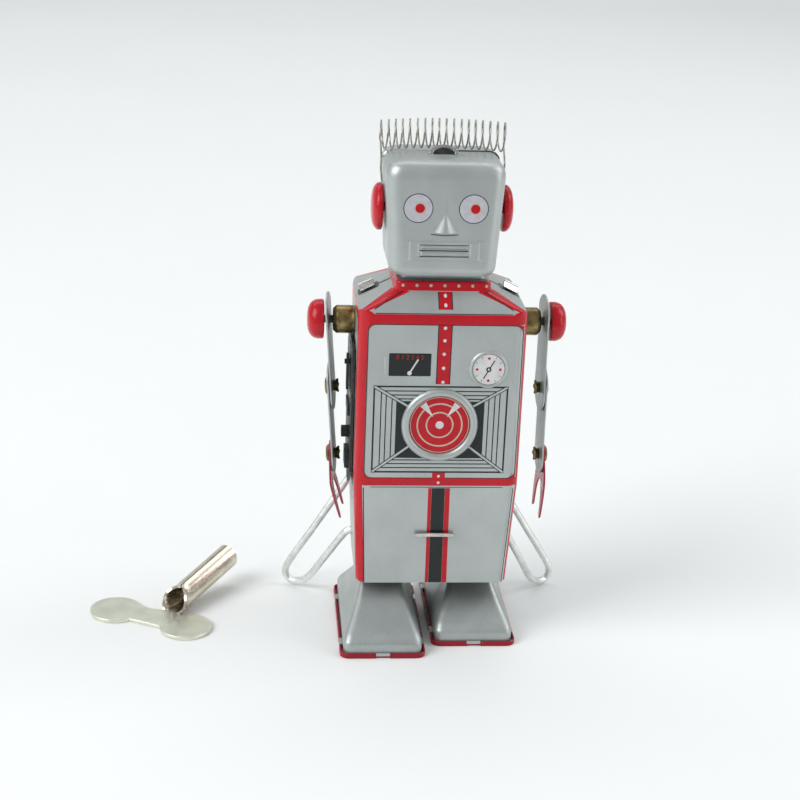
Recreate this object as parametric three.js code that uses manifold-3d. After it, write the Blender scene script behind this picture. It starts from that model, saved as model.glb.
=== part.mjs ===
// Wind-up tin robot that leans on a wire easel, with its loose winding key.
// Millimetres. +X is the robot's own left, -Y its front, +Z up, the floor is Z = 0.
import * as THREE from 'three';
import { mergeVertices } from 'three/addons/utils/BufferGeometryUtils.js';
import Module from 'manifold-3d';

const wasm = await Module();
wasm.setup();

// ---------- driving dimensions ----------
const SHEET = 0.5;            // tinplate thickness
const GAP = 0.3;              // space kept between pieces that touch
const SIDES = [['right', -1], ['left', 1]];
const REACH = 30;             // half the width of every cut that goes right through

// body shell: half width (x), half depth (y) and corner radius at each height
const BODY_BOTTOM_Z = 19.2;
const BODY_WAIST_Z = 53;
const BODY_SHOULDER_Z = 105.8;
const BODY_HALF = 24.7;
const BODY_DEPTH = 18.8;
const NECK_Z = 111.2;
const NECK_HALF = 13.9;
const SLOPE = Math.atan2(NECK_Z - BODY_SHOULDER_Z, BODY_HALF - NECK_HALF);
const BODY_RINGS = [
  [BODY_BOTTOM_Z, 23.1, 16.5, 3.6],
  [BODY_WAIST_Z, BODY_HALF, BODY_DEPTH, 4],
  [BODY_SHOULDER_Z, BODY_HALF, BODY_DEPTH, 4],
  [NECK_Z, NECK_HALF, 13.2, 1.6],
  [113.8, NECK_HALF, 13.2, 1.6],
  [114, 12, 11.2, 1.4],
  [115.7, 12, 11.2, 1.4],
];
const FRONT_TAB = { half: 5.8, prong: 5, low: 35.4, high: 36.8 };
const TAB = { x: 21.1, z: 107.95, half: 2.4 };
const SPEAKER = { z: 71.6, ring: 11.3, rise: 1.2 };

// head shell, set a little forward and to the robot's right on the body
const HEAD_X = -0.7;
const HEAD_Y = -1;
const HEAD_SEAM_Y = 3;
const HEAD_DEPTH = 15;
const HEAD_RINGS = [
  [116, 14.6, 14.1, 3.8],
  [117.6, 15.6, HEAD_DEPTH, 4.4],
  [145.2, 17.2, HEAD_DEPTH, 4.4],
  [147.6, 16.4, 14.1, 4.4],
  [148.6, 14.4, 12.2, 3.8],
];
const NOSE = { half: 3.8, base: 128.6, top: 134.5, out: 2.3 };
const EAR = { y: -1, z: 132.8, radius: 6.9, thick: 3.2, stem: 1.6, inner: { right: 17.75, left: 17.9 } };
const COIL = { y: 1.5, z: 154, radius: 4.15, wire: 0.3, half: 18.6, turns: 17, sag: 0.9 };

// shoulders and arms
const SHOULDER_Y = 0.7;
const SHOULDER_Z = 97.8;
const AXLE_R = 1.15;
const BUSH = { start: BODY_HALF + GAP, end: 31.2, radius: 4.2, tenon: 2.6, bore: 1.45 };
const STRAP_X = 32.4;
const STRAP_STEP = 0.9;       // from one arm strap to the next one outside it
const STRAP_THICK = 0.55;
const CAP = { start: 33.9, end: 38.9, radius: 5.95 };
const UPPER_ARM = 21;
const LOWER_ARM = 21.8;
const ARM_POSE = {            // lean about Y and splay about Z, degrees
  right: { lean: -4.5, splay: -7 },
  left: { lean: -0.5, splay: 2 },
};
const ELBOW_END = 7.2;        // radius of the straps round the elbow
const STRAPS = {              // radii at the top and bottom pivots, and half the waist
  upper: [UPPER_ARM, 8.2, ELBOW_END, 5.6],
  lower: [LOWER_ARM, ELBOW_END, 6, 5],
};
const RIVET = { bore: 1.8, shank: 1.5, head: 2.6 };
const HAND = { top: 3.6, tip: -20 };    // ends above and below the wrist pivot

// clockwork: arbor positions as [y, z]; gear module
const MODULE = 0.5;
const WIND_AT = [0, 62.4];
const CRANK_AT = [0, 45];
const CRANK_THROW = 3.8;
const ESCAPE_AT = [-8, 51];
const VERGE_AT = [-11.6, 57.5];
const TEETH = { great: 40, midPinion: 10, mid: 30, crankPinion: 10, crank: 32, escapePinion: 8 };
const PLATE_THICK = 0.8;
const PLATE_OUT_X = -(BODY_HALF + GAP + PLATE_THICK);   // proud plate's outer face
const PLATE_IN_X = -4.6;
const PLATE_LEFT_X = 3.8;
const PLATE_TOP_Z = 93;
const PILLARS = [['top', 0, 90.2], ['front', -9.2, 77.5], ['rear', 9.2, 77.5]];
const STOP_Z = 84.8;
const GUIDE_AT = [1, 31];
const GUIDE_R = 1.1;

// legs, measured from each leg's own centre line
const LEG_X = { right: -15, left: 13.4 };
const LEG_Y = -1;
const FOOT = { half: 11.9, length: 23.6, low: 1, brim: 5 };
const ANKLE = { half: 6.05, front: -4.9, back: 9, z: 18, top: 48 };
const SOLE = { half: 13, length: 24.45, thick: 0.6, rim: 2.2, wall: 0.35 };

// easel wire, right half; the left half mirrors it
const WIRE_R = 1.2;
const WIRE_HOLE = { y: 5, z: 27, radius: 1.6 };

// winding key: where its bow lies on the floor
const KEY = {
  x: -86.6, y: -4.55, turn: -27.3, lobe: 7.6, spread: 13.2, plate: 1.2,
  tube: 3.5, bore: 2.7, length: 27, tilt: 11, heading: 5,
};

// ---------- materials ----------
function paint(color, roughness, metalness) {
  return new THREE.MeshStandardMaterial({ color, roughness, metalness });
}
const SILVER = paint(0xb0b8b8, 0.38, 0.55);
const RED = paint(0xc32232, 0.35, 0.1);
const STEEL = paint(0xbfc1bd, 0.3, 0.9);
const DARK = paint(0x3a3d3e, 0.5, 0.8);
const BRASS = paint(0x8a7440, 0.42, 0.9);
const NICKEL = paint(0xd4d1c4, 0.22, 1);

// ---------- solids ----------
function toSolid(geometry) {
  const plain = geometry.clone();
  plain.deleteAttribute('normal');
  plain.deleteAttribute('uv');
  const merged = mergeVertices(plain, 1e-4);
  const vertProperties = new Float32Array(merged.attributes.position.array);
  const triVerts = new Uint32Array(merged.index.array);
  if (signedVolume(vertProperties, triVerts) < 0) {
    for (let i = 0; i < triVerts.length; i += 3) {
      [triVerts[i], triVerts[i + 1]] = [triVerts[i + 1], triVerts[i]];
    }
  }
  return new wasm.Manifold(new wasm.Mesh({ numProp: 3, vertProperties, triVerts }));
}

function signedVolume(points, triangles) {
  const [a, b, c] = [0, 1, 2].map(() => new THREE.Vector3());
  let volume = 0;
  for (let i = 0; i < triangles.length; i += 3) {
    a.fromArray(points, 3 * triangles[i]);
    b.fromArray(points, 3 * triangles[i + 1]);
    c.fromArray(points, 3 * triangles[i + 2]);
    volume += a.dot(b.cross(c)) / 6;
  }
  return volume;
}

function toGeometry(solid) {
  const mesh = solid.getMesh();
  const geometry = new THREE.BufferGeometry();
  geometry.setAttribute('position', new THREE.BufferAttribute(mesh.vertProperties, 3));
  geometry.setIndex(new THREE.BufferAttribute(mesh.triVerts, 1));
  geometry.computeVertexNormals();
  return geometry;
}

function cut(geometry, ...tools) {
  return toGeometry(tools.reduce((solid, tool) => solid.subtract(toSolid(tool)), toSolid(geometry)));
}

function join(geometry, ...others) {
  return toGeometry(others.reduce((solid, other) => solid.add(toSolid(other)), toSolid(geometry)));
}

function keep(geometry, region) {
  return toGeometry(toSolid(geometry).intersect(toSolid(region)));
}

// an axis-aligned block given by its two corners
function block(x0, x1, y0, y1, z0, z1) {
  const box = new THREE.BoxGeometry(x1 - x0, y1 - y0, z1 - z0);
  return box.translate((x0 + x1) / 2, (y0 + y1) / 2, (z0 + z1) / 2);
}

// a turned piece on an axis along X through (y, z); profile points are [radius, x]
function turned(profile, y, z, segments = 16) {
  const points = profile.map(([radius, x]) => new THREE.Vector2(radius, x));
  return new THREE.LatheGeometry(points, segments).rotateZ(-Math.PI / 2).translate(0, y, z);
}

function rod(radius, x0, x1, y, z, segments = 12) {
  return turned([[0, x0], [radius, x0], [radius, x1], [0, x1]], y, z, segments);
}

function tube(bore, radius, x0, x1, y, z, segments = 16) {
  const profile = [[bore, x0], [radius, x0], [radius, x1], [bore, x1], [bore, x0]];
  return turned(profile, y, z, segments);
}

const YZ_TO_X = new THREE.Matrix4().makeBasis(
  new THREE.Vector3(0, 1, 0), new THREE.Vector3(0, 0, 1), new THREE.Vector3(1, 0, 0));

// the outline as straight steps, anticlockwise with clockwise holes, no point twice
function stepped(shape, curveSegments) {
  const tidy = (points, clockwise) => {
    const apart = points.filter(
      (point, i) => point.distanceTo(points[(i + 1) % points.length]) > 1e-3);
    return THREE.ShapeUtils.isClockWise(apart) === clockwise ? apart : apart.reverse();
  };
  const { shape: outline, holes } = shape.extractPoints(curveSegments);
  const result = new THREE.Shape(tidy(outline, false));
  result.holes = holes.map((hole) => new THREE.Path(tidy(hole, true)));
  return result;
}

// a flat plate in the YZ plane from an outline of [y, z] points, between two x values
function plateX(outline, x0, x1, curveSegments = 8) {
  const shape = outline instanceof THREE.Shape
    ? outline : new THREE.Shape(outline.map(([y, z]) => new THREE.Vector2(y, z)));
  const options = { depth: x1 - x0, bevelEnabled: false };
  const solid = new THREE.ExtrudeGeometry(stepped(shape, curveSegments), options);
  return solid.applyMatrix4(YZ_TO_X).translate(x0, 0, 0);
}

// a horizontal outline with rounded corners
function roundedRing(z, halfX, halfY, radius, centreX = 0, centreY = 0, steps = 3) {
  const corners = [[1, 1], [-1, 1], [-1, -1], [1, -1]];
  return corners.flatMap(([sx, sy], corner) => Array.from({ length: steps + 1 }, (_, i) => {
    const angle = (corner + i / steps) * Math.PI / 2;
    return new THREE.Vector3(
      centreX + sx * (halfX - radius) + radius * Math.cos(angle),
      centreY + sy * (halfY - radius) + radius * Math.sin(angle), z);
  }));
}

// a closed solid through a stack of outlines that have the same number of points
function loft(rings) {
  const count = rings[0].length;
  const positions = rings.flat().flatMap((point) => point.toArray());
  const triangles = [];
  for (let level = 0; level + 1 < rings.length; level += 1) {
    for (let i = 0; i < count; i += 1) {
      const a = level * count + i;
      const b = level * count + (i + 1) % count;
      triangles.push(a, b, b + count, a, b + count, a + count);
    }
  }
  const top = (rings.length - 1) * count;
  for (let i = 1; i + 1 < count; i += 1) {
    triangles.push(0, i + 1, i, top, top + i, top + i + 1);
  }
  const geometry = new THREE.BufferGeometry();
  geometry.setAttribute('position', new THREE.Float32BufferAttribute(positions, 3));
  geometry.setIndex(triangles);
  return geometry;
}

// a round wire along a list of [x, y, z] points
function wireAlong(points, radius, steps, sides, tension = 0.5) {
  const path = new THREE.CatmullRomCurve3(
    points.map((point) => new THREE.Vector3(...point)), false, 'catmullrom', tension);
  const section = new THREE.Shape(Array.from({ length: sides }, (_, i) => {
    const angle = 2 * Math.PI * i / sides;
    return new THREE.Vector2(radius * Math.cos(angle), radius * Math.sin(angle));
  }));
  return new THREE.ExtrudeGeometry(section, { steps, extrudePath: path, bevelEnabled: false });
}

// ---------- the model ----------
const model = new THREE.Group();
const head = new THREE.Group();
head.position.x = HEAD_X;
model.add(head);

function piece(name, geometry, material, parent = model) {
  const mesh = new THREE.Mesh(toGeometry(toSolid(geometry)), material);
  mesh.name = name;
  parent.add(mesh);
  return mesh;
}

function shell(rings, centreY, floorless) {
  const outer = loft(rings.map(([z, x, y, r]) => roundedRing(z, x, y, r, 0, centreY)));
  const last = rings.length - 1;
  const inner = loft(rings.map(([z, x, y, r], i) => {
    const drop = i === last ? SHEET : 0.2;
    const low = floorless ? z - 1 : z + SHEET;
    return roundedRing(i === 0 ? low : z - drop, x - SHEET, y - SHEET, r - 0.4, 0, centreY);
  }));
  return cut(outer, inner);
}

function makeBody() {
  const holes = [
    rod(BUSH.tenon + GAP, -REACH, REACH, SHOULDER_Y, SHOULDER_Z),
    rod(WIRE_HOLE.radius, -REACH, REACH, WIRE_HOLE.y, WIRE_HOLE.z),
    block(-26, -23, -11, 11, 48, 92),
    ...SIDES.map(([, side]) => side * TAB.x).map(
      (x) => block(x - 1.5, x + 1.5, -0.6, 0.6, 104, 112)),
    ...[-1, 1].map((side) => side * FRONT_TAB.prong).map(
      (x) => block(x - 0.9, x + 0.9, -20, -15, FRONT_TAB.low - 0.4, FRONT_TAB.high + 0.4)),
    rod(GUIDE_R + GAP, -REACH, REACH, ...GUIDE_AT),
  ];
  const whole = cut(shell(BODY_RINGS, 0, true), ...holes);
  const front = keep(whole, block(-40, 40, -30, -GAP / 2, 0, 130));
  const dish = new THREE.LatheGeometry([
    [SPEAKER.ring - 2.3, 0], [SPEAKER.ring, 0], [SPEAKER.ring - 0.5, SPEAKER.rise],
    [SPEAKER.ring - 1.7, SPEAKER.rise], [SPEAKER.ring - 2.3, 0],
  ].map(([r, h]) => new THREE.Vector2(r, h)), 24);
  dish.rotateX(Math.PI).translate(0, 0.1 - BODY_DEPTH, SPEAKER.z);
  piece('body_front', join(front, dish), SILVER);
  piece('body_back', keep(whole, block(-40, 40, GAP / 2, 30, 0, 130)), SILVER);
}

function makeHead() {
  const holes = rod(EAR.stem + GAP, -REACH, REACH, EAR.y, EAR.z);
  const whole = cut(shell(HEAD_RINGS, HEAD_Y, false), holes);
  const front = keep(whole, block(-40, 40, -30, HEAD_SEAM_Y - GAP / 2, 100, 160));
  const root = HEAD_Y - HEAD_DEPTH + 0.1;
  const wedge = (z, half, out) => [[-half, root], [half, root], [0, root - out]].map(
    ([x, y]) => new THREE.Vector3(x, y, z));
  const nose = loft([wedge(NOSE.base, NOSE.half, NOSE.out), wedge(NOSE.top, 0.3, 0.2)]);
  piece('head_front', join(front, nose), SILVER, head);
  const back = keep(whole, block(-40, 40, HEAD_SEAM_Y + GAP / 2, 30, 100, 160));
  piece('head_back', back, SILVER, head);
}

function makeEars() {
  const { radius, thick, stem } = EAR;
  const profile = [
    [0, -3], [stem, -3], [stem, 0], [radius - 0.4, 0], [radius, 0.6], [radius, 1.6],
    [radius - 1.1, thick - 0.5], [radius - 2.6, thick], [0, thick],
  ];
  for (const [name, side] of SIDES) {
    const disc = turned(profile.map(([r, x]) => [r, side * (x + EAR.inner[name])]), EAR.y, EAR.z);
    piece(`ear_${name}`, disc, RED, head);
  }
}

// horizontal coil arched over the crown, its two ends running down the cheeks behind the ears
function makeCoil() {
  const stepsPerTurn = 7;
  const points = [];
  const steps = COIL.turns * stepsPerTurn;
  const leg = [[18, COIL.z - 6], [18, 144], [17.36, 140.4], [17.22, 137]];
  const start = leg.map(([x, z]) => [-x, COIL.y - COIL.radius * (z > 145 ? 1 : 0.9), z]).reverse();
  for (let i = 0; i <= steps; i += 1) {
    const angle = 2 * Math.PI * i / stepsPerTurn;
    const along = 2 * i / steps - 1;
    points.push([
      COIL.half * along,
      COIL.y - COIL.radius * Math.cos(angle),
      COIL.z - COIL.sag * along ** 2 + COIL.radius * Math.sin(angle),
    ]);
  }
  const end = leg.map(([x, z]) => [x, COIL.y - COIL.radius * (z > 145 ? 1 : 0.9), z]);
  const path = [...start, ...points, ...end];
  piece('antenna_spring', wireAlong(path, COIL.wire, path.length - 1, 4), STEEL, head);
}

function makeTabs() {
  const lip = new THREE.Shape();
  lip.absellipse(0, 0, 4.3, 2.1, 0, Math.PI, false);
  const clip = new THREE.ExtrudeGeometry(lip, { depth: 0.5, bevelEnabled: false, curveSegments: 10 });
  clip.rotateX(Math.PI / 2 - 0.6).translate(0, -4.2, 149.1);
  piece('spring_clip', clip, STEEL, head);

  const { half, prong, low, high } = FRONT_TAB;
  const prongs = [-1, 1].map((side) => block(
    side * prong - 0.5, side * prong + 0.5, -18.2, -15.6, low + 0.2, high - 0.2));
  const bar = join(block(-half, half, -19, -18.05, low, high), ...prongs);
  piece('front_tab', bar, STEEL);

  // folded over the seam on each shoulder slope, with a tongue down through its slot
  for (const [name, side] of SIDES) {
    const plate = block(-TAB.half, TAB.half, -1.5, 1.5, 0, SHEET).rotateY(side * SLOPE);
    const tongue = block(-1.1, 1.1, -0.28, 0.28, -2.6, 0.2).rotateY(side * SLOPE);
    const tab = join(plate, tongue).translate(side * TAB.x, 0, TAB.z);
    piece(`shoulder_tab_${name}`, tab, STEEL);
  }
}

function makeBushes() {
  const { start, end, radius, tenon, bore } = BUSH;
  for (const [name, side] of SIDES) {
    const profile = [
      [bore, 23.2], [tenon, 23.2], [tenon, start], [radius, start],
      [radius, end - 0.9], [radius - 0.9, end], [bore, end], [bore, 23.2],
    ];
    const bush = turned(profile.map(([r, x]) => [r, side * x]), SHOULDER_Y, SHOULDER_Z);
    piece(`shoulder_bush_${name}`, bush, BRASS);
  }
}

// a strap outline with a round end at each pivot; radii at the top and bottom pivots
function strapOutline(length, top, bottom, waist) {
  const shape = new THREE.Shape();
  shape.absarc(0, 0, top, 0.15 * Math.PI, 0.85 * Math.PI, false);
  shape.quadraticCurveTo(-waist, -length / 2, -bottom, -length);
  shape.absarc(0, -length, bottom, Math.PI, 2 * Math.PI, false);
  shape.quadraticCurveTo(waist, -length / 2, top * Math.cos(0.15 * Math.PI), top * Math.sin(0.15 * Math.PI));
  return shape;
}

function pinHole(shape, z, radius) {
  const hole = new THREE.Path();
  hole.absarc(0, z, radius, 0, 2 * Math.PI, true);
  shape.holes.push(hole);
  return shape;
}

// red two-prong hand hanging from its wrist pivot
function handOutline() {
  const shape = new THREE.Shape();
  shape.absarc(0, 0.4, HAND.top, Math.PI, 0, true);
  shape.quadraticCurveTo(8.2, -6.4, 6.2, -17.7);
  shape.quadraticCurveTo(5.6, HAND.tip - 1, 4.3, -18);
  shape.quadraticCurveTo(4.4, -10, 0, -8);
  shape.quadraticCurveTo(-4.4, -10, -4.3, -18);
  shape.quadraticCurveTo(-5.6, HAND.tip - 1, -6.2, -17.7);
  shape.quadraticCurveTo(-8.2, -6.4, -HAND.top, 0.4);
  return shape;
}

function makeArms() {
  const half = STRAP_THICK / 2;
  for (const [name, side] of SIDES) {
    const axle = [[0, 21], [2.2, 21], [2.2, 21.8], [AXLE_R, 21.8], [AXLE_R, 36.7], [0, 36.7]];
    piece(`shoulder_axle_${name}`,
      turned(axle.map(([r, x]) => [r, side * x]), SHOULDER_Y, SHOULDER_Z, 12), STEEL);
    const { start, end, radius } = CAP;
    const cap = [
      [0, start + 2.8], [1.45, start + 2.8], [1.45, start], [radius - 0.3, start],
      [radius, start + 0.5], [radius, start + 2.2], [radius - 0.9, end - 1.1],
      [radius - 2.6, end - 0.2], [0, end],
    ];
    piece(`shoulder_cap_${name}`,
      turned(cap.map(([r, x]) => [r, side * x]), SHOULDER_Y, SHOULDER_Z), RED);

    const arm = new THREE.Group();
    const { lean, splay } = ARM_POSE[name];
    arm.position.set(side * STRAP_X, SHOULDER_Y, SHOULDER_Z);
    arm.rotation.set(0, THREE.MathUtils.degToRad(lean), THREE.MathUtils.degToRad(splay), 'ZYX');
    model.add(arm);

    const upper = strapOutline(...STRAPS.upper);
    pinHole(upper, 0, AXLE_R + 0.4);
    pinHole(upper, -UPPER_ARM, RIVET.bore);
    piece(`upper_arm_${name}`, plateX(upper, -half, half, 5), SILVER, arm);

    const lower = strapOutline(...STRAPS.lower);
    pinHole(lower, 0, RIVET.bore);
    pinHole(lower, -LOWER_ARM, RIVET.bore);
    const lowerArm = plateX(lower, -half, half, 5).translate(side * STRAP_STEP, 0, -UPPER_ARM);
    piece(`lower_arm_${name}`, lowerArm, SILVER, arm);

    const hand = pinHole(handOutline(), 0, RIVET.bore);
    const handPlate = plateX(hand, -half, half, 5);
    handPlate.translate(side * 2 * STRAP_STEP, 0, -UPPER_ARM - LOWER_ARM);
    piece(`hand_${name}`, handPlate, RED, arm);

    // hollow rivets: a low head outside and a flared end inside
    const rivet = (strap) => {
      const outer = (strap + 1) * STRAP_STEP + half + GAP;
      const inner = strap * STRAP_STEP - half - GAP;
      return [
        [0, inner - 1.1], [1.9, inner - 1.1], [1.7, inner - 0.5], [2.1, inner],
        [RIVET.shank, inner], [RIVET.shank, outer], [RIVET.head, outer],
        [RIVET.head - 0.3, outer + 0.7], [0, outer + 0.9],
      ].map(([r, x]) => [r, side * x]);
    };
    piece(`elbow_rivet_${name}`, turned(rivet(0), 0, -UPPER_ARM, 10), BRASS, arm);
    piece(`wrist_rivet_${name}`, turned(rivet(1), 0, -UPPER_ARM - LOWER_ARM, 10), BRASS, arm);
  }
}

// a flat gear on an X axis with a tooth (or a gap) pointing at the angle given
function gear(teeth, x0, x1, at, bore, pointAt, gapThere = false) {
  const pitch = MODULE * teeth / 2;
  const tip = pitch + 0.8 * MODULE;
  const root = pitch - 1.15 * MODULE;
  const step = 2 * Math.PI / teeth;
  const first = pointAt + (gapThere ? step / 2 : 0);
  const corners = [[-0.3, root], [-0.13, tip], [0.13, tip], [0.3, root]];
  const outline = Array.from({ length: teeth }, (_, i) => corners.map(([turn, radius]) => {
    const angle = first + (i + turn) * step;
    return new THREE.Vector2(radius * Math.cos(angle), radius * Math.sin(angle));
  })).flat();
  const shape = new THREE.Shape(outline);
  if (bore > 0) pinHole(shape, 0, bore);
  return plateX(shape, x0, x1, 6).translate(0, ...at);
}

function angleFrom([y0, z0], [y1, z1]) {
  return Math.atan2(z1 - z0, y1 - y0);
}

// where the intermediate arbor sits so that it meshes with both of its neighbours
function intermediateAt() {
  const near = MODULE * (TEETH.great + TEETH.midPinion) / 2;
  const far = MODULE * (TEETH.mid + TEETH.crankPinion) / 2;
  const span = WIND_AT[1] - CRANK_AT[1];
  const drop = (near * near - far * far + span * span) / (2 * span);
  return [Math.sqrt(near * near - drop * drop), WIND_AT[1] - drop];
}
const MID_AT = intermediateAt();

function platePoints(bottom) {
  return [[-14, 50], [-14, 88], [-9, PLATE_TOP_Z], [9, PLATE_TOP_Z], [14, 88], [14, 50],
    [5, bottom], [-5, bottom]];
}

function makeFrames() {
  const shaftHole = ([y, z], radius) => rod(radius + GAP, -REACH, 10, y, z, 12);
  const pillarHoles = PILLARS.map(([, y, z]) => rod(1 + GAP, -REACH, 10, y, z, 12));
  const proudOutline = [[-13, 54], [-13, 88], [-8, PLATE_TOP_Z], [8, PLATE_TOP_Z], [13, 88],
    [13, 54], [1.5, 46.5], [-1.5, 46.5]];
  const face = PLATE_OUT_X;
  const proud = join(plateX(proudOutline, face, face + PLATE_THICK),
    block(face - 0.6, face + 0.2, -4, 6, 68.8, 72),
    block(face - 1.1, face + 0.2, -4.5, 2.5, 52, 57.4));
  piece('frame_plate_right',
    cut(proud, shaftHole(WIND_AT, 1.95), rod(1.1, -30, -20, 0, STOP_Z), ...pillarHoles), DARK);

  const holes = [shaftHole(WIND_AT, 1.5), shaftHole(CRANK_AT, 1.1), shaftHole(MID_AT, 0.7),
    shaftHole(ESCAPE_AT, 0.6), shaftHole(VERGE_AT, 0.6), ...pillarHoles];
  for (const [name, x] of [['inner', PLATE_IN_X], ['left', PLATE_LEFT_X]]) {
    const plate = plateX(platePoints(40.5), x, x + PLATE_THICK);
    piece(`frame_plate_${name}`, cut(plate, ...holes), STEEL);
  }

  for (const [name, y, z] of PILLARS) {
    const waist = 1.7;
    const inLeft = PLATE_LEFT_X - GAP;
    const inRight = PLATE_IN_X + PLATE_THICK + GAP;
    const outRight = PLATE_IN_X - GAP;
    const profile = [
      [0, face - 0.3], [1, face - 0.3], [1, face + PLATE_THICK + GAP],
      [waist, face + PLATE_THICK + GAP], [waist, outRight], [1, outRight], [1, inRight],
      [waist, inRight], [waist, inLeft], [1, inLeft], [1, PLATE_LEFT_X + PLATE_THICK + 0.3],
      [0, PLATE_LEFT_X + PLATE_THICK + 0.3],
    ];
    piece(`frame_pillar_${name}`, turned(profile, y, z, 12), STEEL);
  }
  piece('leg_guide_rod', rod(GUIDE_R, -23.6, 23.6, ...GUIDE_AT, 12), STEEL);
}

function makeMainspring() {
  const turns = 5;
  const steps = 12 * turns;
  const ribbon = (thickness) => Array.from({ length: steps + 1 }, (_, i) => {
    const angle = -2 * Math.PI * i / 12;
    const radius = 2.6 + 7.2 * i / steps + thickness;
    return new THREE.Vector2(radius * Math.cos(angle), radius * Math.sin(angle));
  });
  const shape = new THREE.Shape([...ribbon(0.2), ...ribbon(-0.2).reverse()]);
  piece('mainspring', plateX(shape, -21, -13).translate(0, ...WIND_AT), DARK);
}

function makeTrain() {
  const toMid = angleFrom(WIND_AT, MID_AT);
  const midToCrank = angleFrom(MID_AT, CRANK_AT);
  const crankToEscape = angleFrom(CRANK_AT, ESCAPE_AT);
  const turnBack = (angle) => angle + Math.PI;

  // squared winding arbor, its square standing out past the proud plate
  const square = new THREE.CylinderGeometry(1.95, 1.95, 3, 8).rotateZ(Math.PI / 2);
  square.translate(-26.4, ...WIND_AT);
  const shaft = turned([[0, -25.6], [1.5, -25.6], [1.5, 4.9], [0, 4.9]], ...WIND_AT, 12);
  piece('winding_arbor', join(square, shaft), DARK);
  const ratchetTeeth = 12;
  const saw = Array.from({ length: ratchetTeeth }, (_, i) => [[0, 4], [0.96, 3.1]].map(([turn, radius]) => {
    const angle = 2 * Math.PI * (i + turn) / ratchetTeeth;
    return new THREE.Vector2(radius * Math.cos(angle), radius * Math.sin(angle));
  })).flat();
  const ratchet = pinHole(new THREE.Shape(saw), 0, 1.5 + GAP);
  piece('ratchet_wheel', plateX(ratchet, -1.7, -0.9, 6).translate(0, ...WIND_AT), STEEL);

  piece('great_wheel', gear(TEETH.great, -3.2, -2.2, WIND_AT, 1.5 + GAP, toMid), BRASS);
  const clickArm = new THREE.Shape();
  clickArm.absarc(0, 7, 1.1, -0.2 * Math.PI, 1.2 * Math.PI, false);
  clickArm.lineTo(-4.4, 3.7);
  clickArm.lineTo(-3.4, 3);
  piece('ratchet_click', plateX(clickArm, -1.7, -0.9, 6).translate(0, ...WIND_AT), STEEL);

  piece('intermediate_pinion', join(
    gear(TEETH.midPinion, -3.6, -1.6, MID_AT, 0, turnBack(toMid), true),
    rod(0.7, -4.8, 4.8, ...MID_AT, 10)), STEEL);
  piece('intermediate_wheel', gear(TEETH.mid, 0, 0.8, MID_AT, 0.7 + GAP, midToCrank), BRASS);

  piece('crankshaft', rod(1.1, -5.9, 5.9, ...CRANK_AT, 12), STEEL);
  const crankPinion = gear(TEETH.crankPinion, -0.4, 1.2, CRANK_AT, 1.1 + 0.25, turnBack(midToCrank), true);
  piece('crank_pinion', crankPinion, STEEL);
  piece('crank_wheel', gear(TEETH.crank, 2, 2.8, CRANK_AT, 1.1 + GAP, crankToEscape), BRASS);
  for (const [name, side] of SIDES) {
    const [y, z] = CRANK_AT;
    const disc = tube(1.1 + GAP, 5.2, side * 5, side * 6, y, z, 20);
    const pin = rod(1, side * 5.5, side * 12, y + side * CRANK_THROW, z, 12);
    piece(`crank_disc_${name}`, join(disc, pin), STEEL);
  }

  piece('escape_pinion', join(
    gear(TEETH.escapePinion, 1.7, 3.1, ESCAPE_AT, 0, turnBack(crankToEscape), true),
    rod(0.6, -4.8, 4.8, ...ESCAPE_AT, 10)), STEEL);
  const spikes = Array.from({ length: 12 }, (_, i) => [[0, 4.2], [0.25, 2.9], [0.8, 2.9]].map(([turn, r]) => {
    const angle = 2 * Math.PI * (i + turn) / 12;
    return new THREE.Vector2(r * Math.cos(angle), r * Math.sin(angle));
  })).flat();
  const escape = pinHole(new THREE.Shape(spikes), 0, 0.6 + GAP);
  piece('escape_wheel', plateX(escape, -1.4, -0.6, 6).translate(0, ...ESCAPE_AT), BRASS);

  // anchor over the escape wheel, its two pallets just clear of the teeth
  const towards = angleFrom(ESCAPE_AT, VERGE_AT);
  const anchor = new THREE.Shape();
  anchor.absarc(0, 0, 5.8, towards - 0.7, towards + 0.7, false);
  anchor.absarc(0, 0, 4.8, towards + 0.7, towards - 0.7, true);
  const band = plateX(anchor, -1.4, -0.6, 6).translate(0, ...ESCAPE_AT);
  const stem = new THREE.BoxGeometry(0.8, 2.4, 1.6).rotateX(towards);
  stem.translate(-1, ESCAPE_AT[0] + 6.4 * Math.cos(towards), ESCAPE_AT[1] + 6.4 * Math.sin(towards));
  piece('verge', join(band, stem, rod(0.6, -4.8, 4.8, ...VERGE_AT, 10)), STEEL);
}

function makeStopLever() {
  const lever = new THREE.Shape();
  lever.absarc(0, STOP_Z, 2.6, 0, Math.PI, false);
  lever.lineTo(-1.6, 78);
  lever.absarc(0, 77.5, 1.6, Math.PI, 2 * Math.PI, false);
  const arm = plateX(lever, PLATE_OUT_X - GAP - 0.7, PLATE_OUT_X - GAP, 6);
  const pivot = rod(0.8, PLATE_OUT_X - 1.6, PLATE_OUT_X + 2, 0, STOP_Z, 12);
  piece('stop_lever', join(arm, pivot), DARK);
}

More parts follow.
